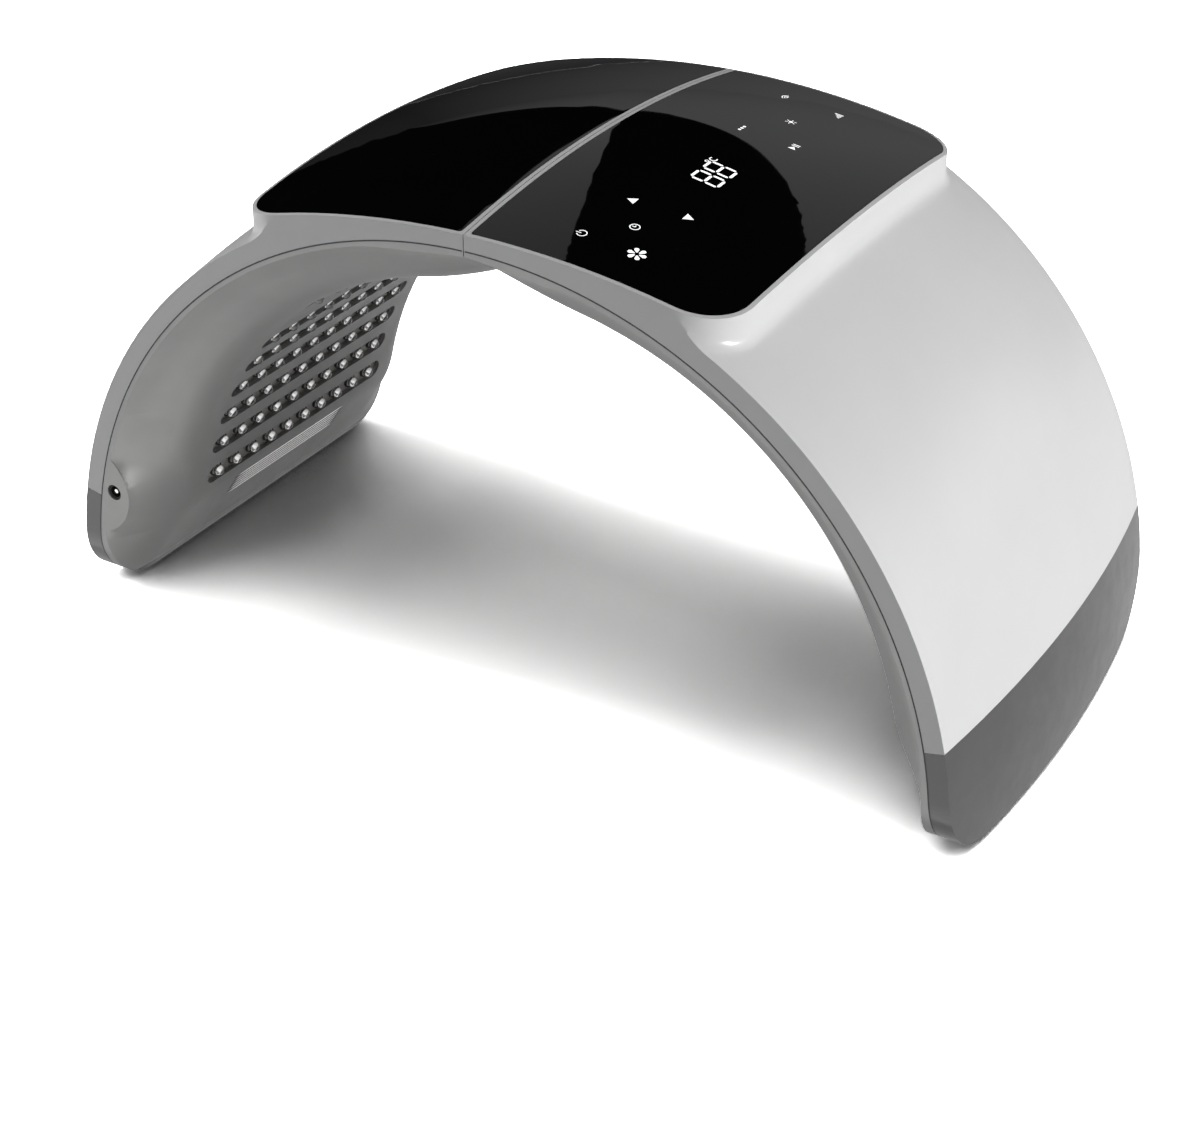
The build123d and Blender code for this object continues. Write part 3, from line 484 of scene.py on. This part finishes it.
def sheet_over(name, body, slot, starts, along, depths, held):
    """Sheet on a grid of rays: starts and depths are arrays, and held marks the points that belong to it."""
    shaped = bmesh.new()
    points = {}
    rows, columns = depths.shape
    for i in range(rows - 1):
        for j in range(columns - 1):
            corners = ((i, j), (i + 1, j), (i + 1, j + 1), (i, j + 1))
            if not any(held[c] for c in corners) or any(np.isnan(depths[c]) for c in corners):
                continue
            for c in corners:
                if c not in points:
                    place = Vector(starts[c]) + Vector(along) * float(depths[c])
                    points[c] = shaped.verts.new(place * MM)
            shaped.faces.new([points[c] for c in corners])
    for face in shaped.faces:
        face.normal_update()
        if face.normal.dot(Vector(along)) > 0:
            face.normal_flip()
    mesh = bpy.data.meshes.new(name)
    shaped.to_mesh(mesh)
    shaped.free()
    mesh.shade_smooth()
    add_piece(name, mesh, body, slot)


def flare_share(y):
    """How far the flare has come up at a depth, through its stations with an even curve."""
    place = max(0.0, (abs(y) - FLARE_START) / FLARE_RUN)
    for k in range(1, len(FLARE_SHARES) - 2):
        (_, y0), (x1, y1), (x2, y2), (_, y3) = FLARE_SHARES[k - 1:k + 3]
        if place <= x2:
            break
    t = (place - x1) / (x2 - x1)
    m1, m2 = (y2 - y0) / 2, (y3 - y1) / 2
    return ((2 * t ** 3 - 3 * t ** 2 + 1) * y1 + (t ** 3 - 2 * t ** 2 + t) * m1
            + (3 * t ** 2 - 2 * t ** 3) * y2 + (t ** 3 - t ** 2) * m2)


def crown_height(x, y):
    """Height of the arch's inner side near the hinge: the panel's curve, which comes up a little towards the
    seam, or the slope that the fold needs where that is higher."""
    share = flare_share(y)
    rise = (HINGE_HEIGHT - AXIS_HEIGHT - PANEL_RADIUS) * (1 - share) * max(0.0, 1 - x / SEAM_RISE_RUN) ** 2
    slope = HINGE_HEIGHT - FOLD_SLOPE * x
    curve = AXIS_HEIGHT + math.sqrt((PANEL_RADIUS + share * FLARE_RISE) ** 2 - x ** 2) + rise
    return curve + (slope - curve + math.sqrt((slope - curve) ** 2 + CORNER_EASE)) / 2


def add_crown_lining(side, sign):
    """Lining that takes the inner side on to the seam in the panel's curve, below the frame's slope there."""
    across = np.concatenate(([LINING_WALL], np.linspace(*LINING_CLOSE), np.linspace(*LINING_WIDE)))
    deep = np.linspace(*LINING_ALONG)
    starts = np.array([[(sign * x, y, LINING_BELOW) for y in deep] for x in across])
    depths = cast(surface(side + "_inner_shell"), starts, (0, 0, 1))
    sought = np.array([[crown_height(x, y) - LINING_BELOW for y in deep] for x in across])
    fade = np.clip((LINING_REACH - across) / LINING_FADE, 0.0, 1.0)[:, None]
    missed = np.isnan(depths) | (depths - sought > LINING_MOST)
    fill = np.where(missed, np.nan, depths - sought) * fade
    fill[0] = 0.0
    held = fill > LINING_LEAST
    sheet_over(side + "_crown_lining", side + "_half", "inner_silver", starts, (0, 0, 1),
               np.where(held, depths - fill - PROUD, depths + LINING_EDGE + 0 * fill), held)


def add_socket_blend():
    """Sheet that lets the socket's land run softly into the flare around it."""
    x_places = np.linspace(LAND_LEFT, LAND_RIGHT, round(LAND_RIGHT - LAND_LEFT) + 1)
    z_places = np.linspace(LAND_LOW, LAND_HIGH, round(LAND_HIGH - LAND_LOW) + 1)
    starts = np.array([[(x, LAND_START, z) for z in z_places] for x in x_places])
    depths = cast(surface("left_inner_shell"), starts, (0, 1, 0))
    reach = np.hypot(starts[..., 0], starts[..., 2] - AXIS_HEIGHT)
    from_hole = np.hypot(starts[..., 0] - SOCKET_PLACE[0], starts[..., 2] - SOCKET_PLACE[1])
    depths[(depths > LAND_DEEPEST) | (reach > LAND_REACH)] = np.nan
    depths[from_hole < SOCKET_CLEAR] = LAND_DEPTH
    flat = depths < LAND_DEPTH + 0.1
    soft = depths.copy()
    for _ in range(LAND_ROUNDS):
        mean = (soft[:-2, 1:-1] + soft[2:, 1:-1] + soft[1:-1, :-2] + soft[1:-1, 2:]) / 4
        inner = soft[1:-1, 1:-1]
        inner[:] = np.where(np.isnan(mean) | flat[1:-1, 1:-1], inner, np.minimum(depths[1:-1, 1:-1], mean))
    held = (depths - soft > LAND_LEAST) & (from_hole > SOCKET_CLEAR)
    sheet_over("socket_land_blend", "left_half", "inner_silver", starts, (0, 1, 0),
               np.where(held, soft - LAND_PROUD, depths + LAND_EDGE), held)


# Fine lines of the joints and the foot slots
def rim_depth(z):
    """How far the front face stands from the middle at a height, with the foot's round corner."""
    below = max(0.0, FOOT_LEVEL + FOOT_CORNER - z)
    return DEPTH / 2 - FOOT_CORNER + math.sqrt(FOOT_CORNER ** 2 - below ** 2)


def add_parting_shade_strip(side, sign):
    """Black strip on the parting between inner and outer shell, on the front and the rear rim: painted shade
    for the shadow in the joint's gap.
    """
    shade_mesh = bmesh.new()
    start = math.degrees(math.asin((FOOT_LEVEL + PARTING_SHADE_START - AXIS_HEIGHT) / PARTING_RADIUS))
    for facing in (-1, 1):
        before = None
        for k in range(PARTING_SHADE_STEPS + 1):
            turn = math.radians(start + (PARTING_SHADE_END - start) * k / PARTING_SHADE_STEPS)
            pair = []
            for edge in PARTING_SHADE_EDGES:
                radius = PARTING_RADIUS + edge
                x, z = radius * math.cos(turn), AXIS_HEIGHT + radius * math.sin(turn)
                pair.append(shade_mesh.verts.new(Vector((sign * x, facing * (rim_depth(z) + PROUD), z)) * MM))
            if before:
                shade_mesh.faces.new((before[0], before[1], pair[1], pair[0]))
            before = pair
    name = side + "_parting_shade_strip"
    add_piece(name, finish_mesh(shade_mesh, name), side + "_half", "black_plastic")


def on_slope(shaped, sign, place, depth, y):
    """New point on the foot's slope: how far down it, how far behind it and how far to the rear."""
    point = slope_top + slope_down * place + slope_inward * depth
    return shaped.verts.new(Vector((sign * point.x, y, point.z)) * MM)


def add_slot_beads(side, sign):
    """Bright beads along the edges of the foot's air slots."""
    beads = bmesh.new()
    for k in range(VENTS + 1):
        middle = BEAD_START + VENT_PITCH * k
        before = None
        for step in range(BEAD_STEPS + 1):
            y = -BEAD_HALF_LENGTH + 2 * BEAD_HALF_LENGTH * step / BEAD_STEPS
            swell = math.sqrt(max(0.0, 1 - (abs(y) / BEAD_HALF_LENGTH) ** 8))
            sink = BEAD_END_DEPTH * (1 - swell)
            loop = [on_slope(beads, sign, middle + aside * swell, rise * swell + sink, y)
                    for aside, rise in BEAD_SECTION]
            if before:
                for a in range(len(BEAD_SECTION) - 1):
                    beads.faces.new((before[a], before[a + 1], loop[a + 1], loop[a]))
            before = loop
    name = side + "_slot_beads"
    mesh = finish_mesh(beads, name, 60.0)
    facing = Vector((sign * slope_inward.x, 0, slope_inward.z))
    if sum(p.normal.dot(facing) for p in mesh.polygons) > 0:
        mesh.flip_normals()
    add_piece(name, mesh, side + "_half", "pin_nickel", bead_bright)


def add_slot_shade_strips(side, sign):
    """Black strips a little way into each of the foot's air slots: painted shade for the dark inside of the
    slots.
    """
    strips = bmesh.new()
    for k in range(VENTS):
        middle = VENT_START + VENT_PITCH * k
        upper, lower = middle - VENT_HALF_WIDTH, middle + VENT_HALF_WIDTH
        front, back = -VENT_HALF_LENGTH, VENT_HALF_LENGTH
        corners = ((upper, front), (lower, front), (lower, back), (upper, back))
        strips.faces.new([on_slope(strips, sign, place, SLOT_SHADE_DEPTH, y) for place, y in corners])
    name = side + "_slot_shade_strips"
    add_piece(name, finish_mesh(strips, name), side + "_half", "black_plastic")


# Marks under the right glass plate, drawn as they are read: x across the digits, y up them
def crown(y):
    """How far the glass stands up at a depth, in millimetres."""
    return math.sqrt(CROWN_RADIUS ** 2 - y ** 2) - (CROWN_RADIUS - CROWN)


def glass_top(x, y):
    """Height of the crowned glass in millimetres."""
    return math.sqrt((PLATE_RADIUS + crown(y)) ** 2 - x ** 2) + PLATE_EDGE_LEVEL - PLATE_RADIUS


def on_glass(shaped, outline, centre, scale=1.0):
    """Lays an outline on the glass at a centre, its reading direction towards the rear."""
    points = []
    for across, up in outline:
        x, y = centre[0] - up * scale, centre[1] + across * scale
        points.append(shaped.verts.new(Vector((x, y, glass_top(x, y) + PROUD)) * MM))
    shaped.faces.new(points)


def arc(radius, start, end, steps, centre=(0.0, 0.0)):
    """Points on an arc between two angles in degrees."""
    turns = [math.radians(start + (end - start) * k / steps) for k in range(steps + 1)]
    return [(centre[0] + radius * math.cos(turn), centre[1] + radius * math.sin(turn)) for turn in turns]


def ring(radius, width, start, end, steps, centre=(0.0, 0.0)):
    """Outline of a part of a ring."""
    return arc(radius, start, end, steps, centre) + arc(radius - width, end, start, steps, centre)


def bar(x, y, length, width, turn):
    """Outline of a bar that starts at a point and runs in a direction."""
    c, s = math.cos(math.radians(turn)), math.sin(math.radians(turn))
    corners = ((0, -width / 2), (length, -width / 2), (length, width / 2), (0, width / 2))
    return [(x + a * c - b * s, y + a * s + b * c) for a, b in corners]


def segment(start, end):
    """Six-cornered segment between two corners of a digit."""
    (ax, ay), (bx, by) = start, end
    length = math.dist(start, end)
    ux, uy = (bx - ax) / length, (by - ay) / length
    half = DIGIT_STROKE / 2
    near, far = DIGIT_GAP, length - DIGIT_GAP
    shape = []
    for along, aside in ((near, 0), (near + half, half), (far - half, half), (far, 0),
                         (far - half, -half), (near + half, -half)):
        x, y = ax + ux * along - uy * aside, ay + uy * along + ux * aside
        shape.append((x + DIGIT_SLANT * y, y))
    return shape


def draw_display(marks):
    """Two digits with every segment lit, and a small unit beside them."""
    for x0 in DIGIT_STARTS:
        x1 = x0 + DIGIT_WIDTH
        y0, y1, y2 = -DIGIT_HEIGHT / 2, 0.0, DIGIT_HEIGHT / 2
        for start, end in (((x0, y0), (x1, y0)), ((x0, y1), (x1, y1)), ((x0, y2), (x1, y2)),
                           ((x0, y0), (x0, y1)), ((x1, y0), (x1, y1)),
                           ((x0, y1), (x0, y2)), ((x1, y1), (x1, y2))):
            on_glass(marks, segment(start, end), DISPLAY_PLACE)
    for outline in (ring(1.1, 0.45, 0, 180, 8, (-2.9, 1.3)), ring(1.1, 0.45, 180, 360, 8, (-2.9, 1.3)),
                    ring(2.0, 0.6, 50, 310, 12, (0.8, 0.0))):
        on_glass(marks, outline, UNIT_PLACE, UNIT_SCALE)


def draw_arrows(marks):
    """Triangles that step the value up and down."""
    for centre, facing in ARROWS:
        outline = [(-2.4, -1.8 * facing), (2.4, -1.8 * facing), (0.0, 2.1 * facing)]
        on_glass(marks, outline[::facing], centre)


def draw_fan(marks):
    """Fan of six blades."""
    for k in range(FAN_BLADES):
        turn = math.radians(360 / FAN_BLADES * (k + 0.5))
        c, s = math.cos(turn), math.sin(turn)
        on_glass(marks, [(x * c - y * s, x * s + y * c) for x, y in FAN_BLADE], FAN_PLACE)


def draw_touch_marks(marks):
    """Thin marks of the other touch fields: power, timer, waves, sun, levels, drops and pause."""
    power = [ring(2.2, LINE, 120, 420, 16), bar(0, 0.3, 2.3, LINE, 90)]
    timer = [ring(2.2, LINE, 0, 180, 10), ring(2.2, LINE, 180, 360, 10)]
    timer += [bar(0, -0.2, 1.4, LINE, 90), bar(0, 0, 1.1, LINE, 0)]
    sun = [arc(0.9, 0, 330, 11)]
    sun += [bar(1.4 * math.cos(math.radians(t)), 1.4 * math.sin(math.radians(t)), 1.1, LINE, t)
            for t in range(0, 360, 60)]
    levels = [bar(-2.2 + 1.5 * k, -1.6, 1.0 + 1.0 * k, 0.7, 90) for k in range(4)]
    pause = [[(-2.6, -1.7), (0.2, 0.0), (-2.6, 1.7)]]
    pause += [bar(x, -1.7, 3.4, 0.6, 90) for x in (1.2, 2.6)]
    waves = [ring(radius, LINE, 30, 150, 8, (0, -1.6)) for radius in (1.2, 2.3, 3.4)]
    drops = [arc(0.75, 0, 330, 11, (x, 0)) for x in (-2.2, 0, 2.2)]
    for shapes, centre in ((power, (39.7, -90.7)), (timer, (54.3, -75.6)), (waves, (39.7, 85.3)),
                           (sun, (56.7, 55.2)), (levels, (66.1, 82.6)), (drops, (45.6, 31.2)),
                           (pause, (70.3, 30.3))):
        for outline in shapes:
            on_glass(marks, outline, centre)


def add_glass_marks():
    """All marks as one piece that shines through the glass."""
    marks = bmesh.new()
    for draw in (draw_display, draw_arrows, draw_fan, draw_touch_marks):
        draw(marks)
    for face in marks.faces:
        face.normal_update()
        if face.normal.z < 0:
            face.normal_flip()
    mesh = bpy.data.meshes.new("glass_marks")
    marks.to_mesh(mesh)
    marks.free()
    add_piece("glass_marks", mesh, "right_half", "display_white", mark_light)


slope_top = Vector((PANEL_RADIUS * math.cos(SLOPE_LOW), 0,
                    AXIS_HEIGHT + PANEL_RADIUS * math.sin(SLOPE_LOW)))
slope_down = (Vector((FOOT_REACH, 0, FOOT_LEVEL)) - slope_top).normalized()
slope_inward = Vector((-slope_down.z, 0, slope_down.x))
for side, _ in HALVES:
    for part, width, angle in SOFT_EDGES:
        soften(side + "_" + part, width, angle)
for name in SMALL_PIECES:
    soften(name, SMALL_EDGE, EDGE_ANGLE)
for side, sign in HALVES:
    add_lights(side, sign)
for side, sign in HALVES:
    add_crown_lining(side, sign)
add_socket_blend()
for side, sign in HALVES:
    add_parting_shade_strip(side, sign)
for side, sign in HALVES:
    add_slot_beads(side, sign)
    add_slot_shade_strips(side, sign)
add_glass_marks()


# Stage: floor, light and camera, in metres
FLOOR_HALF = 6.0
PAPER_TONE = (0.60, 0.60, 0.605, 1.0)
PAPER_SEEN = 7.5
PAPER_MIRRORED = 0.4
PAPER_GRAIN = 900.0
PAPER_BUMP = 0.05
PAPER_RELIEF = 0.0002
SHADE_REACH = 0.3
SHADE_SAMPLES = 8
SHADE_RANGE = (0.34, 0.50, 0.12, 1.0)
LIFT_RANGE = (1.3, FLOOR_HALF, 1.0, 90.0)
LEFT_DIMMING = (-5.2, -0.8, 0.13, 1.0)
WORLD_FILL = 0.01
CEILING = 1.5
WALL_TOP = 1.6
BACKDROP = 6.2
CEILING_FRONT, CEILING_BACK = -3.0, 6.15
CARDS_LEFT, CARDS_RIGHT = -9.0, 3.0
ON_FLOOR = 0.002
AIM = (0.0, 0.0, 0.1)


def stage_sheet(name, corners, material):
    """Flat sheet of the stage."""
    mesh = bpy.data.meshes.new(name)
    mesh.from_pydata(corners, [], [tuple(range(len(corners)))])
    obj = bpy.data.objects.new(name, mesh)
    collection.objects.link(obj)
    mesh.materials.append(material)
    return obj


def math_node(tree, operation, first, second):
    """Output of a math node whose inputs are sockets or numbers."""
    made = tree.nodes.new("ShaderNodeMath")
    made.operation = operation
    for socket, value in zip(made.inputs, (first, second)):
        if isinstance(value, float):
            socket.default_value = value
        else:
            tree.links.new(value, socket)
    return made.outputs[0]


def map_node(tree, value, start, end, low, high):
    """Output of a map range node, which holds its ends."""
    made = tree.nodes.new("ShaderNodeMapRange")
    for socket, number in (("From Min", start), ("From Max", end), ("To Min", low), ("To Max", high)):
        made.inputs[socket].default_value = number
    tree.links.new(value, made.inputs["Value"])
    return made.outputs["Result"]


def seen_white(tree, strength, camera=False):
    """White for glossy and transmission rays, and for the camera's own rays where asked."""
    path = tree.nodes.new("ShaderNodeLightPath")
    seen = math_node(tree, "MAXIMUM", path.outputs["Is Transmission Ray"], path.outputs["Is Glossy Ray"])
    if camera:
        seen = math_node(tree, "MAXIMUM", seen, path.outputs["Is Camera Ray"])
    return math_node(tree, "MULTIPLY", seen, strength)


def floor_paper():
    """Pale paper whose colour is raised for the camera's own rays, more so far away, and is darkened by
    ambient occlusion where the object closes in on it: painted shade on the floor around the object."""
    material = bpy.data.materials.new("floor_paper")
    material.use_nodes = True
    tree = material.node_tree
    tree.nodes.remove(tree.nodes["Principled BSDF"])
    paper = tree.nodes.new("ShaderNodeBsdfDiffuse")
    glow = tree.nodes.new("ShaderNodeEmission")
    both = tree.nodes.new("ShaderNodeAddShader")
    tone = tree.nodes.new("ShaderNodeMix")
    tone.data_type = "RGBA"
    path = tree.nodes.new("ShaderNodeLightPath")
    grain = tree.nodes.new("ShaderNodeTexNoise")
    grain.inputs["Scale"].default_value = PAPER_GRAIN
    bump = tree.nodes.new("ShaderNodeBump")
    bump.inputs["Strength"].default_value = PAPER_BUMP
    bump.inputs["Distance"].default_value = PAPER_RELIEF
    # Ambient occlusion darkens the floor's colour near the object: painted shade
    near = tree.nodes.new("ShaderNodeAmbientOcclusion")
    near.inputs["Distance"].default_value = SHADE_REACH
    near.samples = SHADE_SAMPLES
    place = tree.nodes.new("ShaderNodeTexCoord")
    reach = tree.nodes.new("ShaderNodeVectorMath")
    reach.operation = "LENGTH"
    tree.links.new(place.outputs["Object"], reach.inputs[0])
    shade = map_node(tree, near.outputs["AO"], *SHADE_RANGE)
    lift = map_node(tree, reach.outputs["Value"], *LIFT_RANGE)
    seen = math_node(tree, "MULTIPLY", math_node(tree, "MULTIPLY", shade, PAPER_SEEN), lift)
    tone.inputs[6].default_value = PAPER_TONE
    for source, target in ((grain.outputs["Fac"], bump.inputs["Height"]),
                           (bump.outputs["Normal"], paper.inputs["Normal"]),
                           (seen, tone.inputs[7]),
                           (path.outputs["Is Camera Ray"], tone.inputs[0]),
                           (tone.outputs[2], paper.inputs["Color"]),
                           (seen_white(tree, PAPER_MIRRORED), glow.inputs["Strength"]),
                           (paper.outputs[0], both.inputs[0]),
                           (glow.outputs[0], both.inputs[1]),
                           (both.outputs[0], tree.nodes["Material Output"].inputs["Surface"])):
        tree.links.new(source, target)
    return material


def light_world():
    """World that is white to shiny surfaces and the camera, and nearly dark to all else."""
    world = bpy.data.worlds.new("studio")
    bpy.context.scene.world = world
    world.use_nodes = True
    tree = world.node_tree
    background = tree.nodes["Background"]
    background.inputs["Color"].default_value = (1.0, 1.0, 1.0, 1.0)
    strength = math_node(tree, "ADD", seen_white(tree, 1.0 - WORLD_FILL, True), WORLD_FILL)
    tree.links.new(strength, background.inputs["Strength"])


def lamp(name, place, target, size, power, size_y=None):
    """Rectangular softbox that points at a target."""
    data = bpy.data.lights.new(name, "AREA")
    data.shape = "RECTANGLE"
    data.size = size
    data.size_y = size_y or size
    data.energy = power
    obj = bpy.data.objects.new(name, data)
    collection.objects.link(obj)
    obj.location = place
    obj.rotation_euler = (Vector(target) - Vector(place)).to_track_quat("-Z", "Y").to_euler()


def reflected_card(name, corners, brightness, fade=None):
    """A card that only shiny surfaces see, as a studio hangs one; fade is an axis, two places on it and
    the second's brightness, and such a card also dims towards the left."""
    material = bpy.data.materials.new(name)
    material.use_nodes = True
    tree = material.node_tree
    tree.nodes.remove(tree.nodes["Principled BSDF"])
    glow = tree.nodes.new("ShaderNodeEmission")
    glow.inputs["Strength"].default_value = brightness
    if fade:
        axis, start, end, last = fade
        place = tree.nodes.new("ShaderNodeTexCoord")
        split = tree.nodes.new("ShaderNodeSeparateXYZ")
        tree.links.new(place.outputs["Object"], split.inputs["Vector"])
        along = map_node(tree, split.outputs[axis], start, end, brightness, last)
        aside = map_node(tree, split.outputs["X"], *LEFT_DIMMING)
        tree.links.new(math_node(tree, "MULTIPLY", along, aside), glow.inputs["Strength"])
    tree.links.new(glow.outputs["Emission"], tree.nodes["Material Output"].inputs["Surface"])
    card = stage_sheet(name, corners, material)
    card.visible_camera = card.visible_diffuse = card.visible_transmission = card.visible_shadow = False


def smooth_line(points, steps=6):
    """Even curve through points in a plane."""
    ends = [points[0]] + points + [points[-1]]
    line = []
    for stations in zip(ends, ends[1:], ends[2:], ends[3:]):
        for k in range(steps):
            t = k / steps
            line.append(tuple((2 * q + (r - p) * t + (2 * p - 5 * q + 4 * r - s) * t * t
                               + (3 * q - p - 3 * r + s) * t ** 3) / 2 for p, q, r, s in zip(*stations)))
    return line + [points[-1]]


def upright(start, end):
    """Corners of a wall that stands on the floor between two places."""
    return [(*start, 0.0), (*end, 0.0), (*end, WALL_TOP), (*start, WALL_TOP)]


def lying(left, front, right, back):
    """Corners of a card that lies on the floor."""
    places = ((left, front), (right, front), (right, back), (left, back))
    return [(x, y, ON_FLOOR) for x, y in places]


def hang_cards():
    """What the glass and the shells reflect: a dark ceiling with a curved edge and a grey one beside it, a
    grey backdrop, a bright floor in front, dark cards at the left and a grey one over the seam."""
    edge = smooth_line([(0.05, CEILING_FRONT), (0.05, 0.5), (0.03, 1.05), (-0.05, 1.45), (-0.21, 1.75),
                        (-0.40, 2.04), (-0.65, 2.39), (-0.96, 2.78), (-1.38, 3.22), (-1.95, 3.72),
                        (-2.65, 4.27), (-3.6, 4.95), (-5.9, CEILING_BACK)])
    dark = edge + [(CARDS_LEFT, CEILING_BACK), (CARDS_LEFT, CEILING_FRONT)]
    grey = [(CARDS_RIGHT, CEILING_BACK), (CARDS_RIGHT, CEILING_FRONT)] + edge
    backdrop = upright((CARDS_LEFT, BACKDROP), (CARDS_RIGHT, BACKDROP))
    wall = upright((CARDS_LEFT, CEILING_FRONT), (CARDS_LEFT, BACKDROP))
    seam = [(-0.427, 0.785, 0.5), (-0.195, 0.02, 0.5), (-0.034, 0.01, 0.5)]
    reflected_card("dark_ceiling", [(x, y, CEILING) for x, y in dark], 0.0)
    reflected_card("grey_ceiling", [(x, y, CEILING) for x, y in grey], 0.38, ("Y", 1.6, FLOOR_HALF, 0.27))
    reflected_card("grey_backdrop", backdrop, 0.3, ("Z", CEILING, 0.0, 0.12))
    reflected_card("floor_card_front", lying(-3.0, -FLOOR_HALF, 0.6, -0.117), 1.6)
    reflected_card("floor_card_left", lying(-FLOOR_HALF, 0.3, -0.3, FLOOR_HALF), 0.04)
    reflected_card("left_wall", wall, 0.03)
    reflected_card("seam_flag", seam, 0.3)


floor_corners = [(x * FLOOR_HALF, y * FLOOR_HALF, 0) for x, y in ((-1, -1), (1, -1), (1, 1), (-1, 1))]
stage_sheet("floor", floor_corners, floor_paper())
light_world()
lamp("right_softbox", (2.58, 0.0, 0.24), (0.0, 0.0, 0.12), 1.0, 48.0, 0.4)
lamp("top_softbox", (0.0, -0.091, 2.698), AIM, 3.4, 29.0)
lamp("left_softbox", (-2.443, 0.0, 0.989), AIM, 1.2, 36.0)
hang_cards()

camera_data = bpy.data.cameras.new("camera")
camera_data.sensor_width = 36.0
camera_data.sensor_fit = "HORIZONTAL"
camera_data.lens = 68.49
camera = bpy.data.objects.new("camera", camera_data)
collection.objects.link(camera)
camera.location = (0.4511, -0.7887, 0.5599)
camera.rotation_euler = (math.radians(59.08), 0.0, math.radians(30.03))
bpy.context.scene.camera = camera
bpy.context.scene.view_settings.view_transform = "Standard"
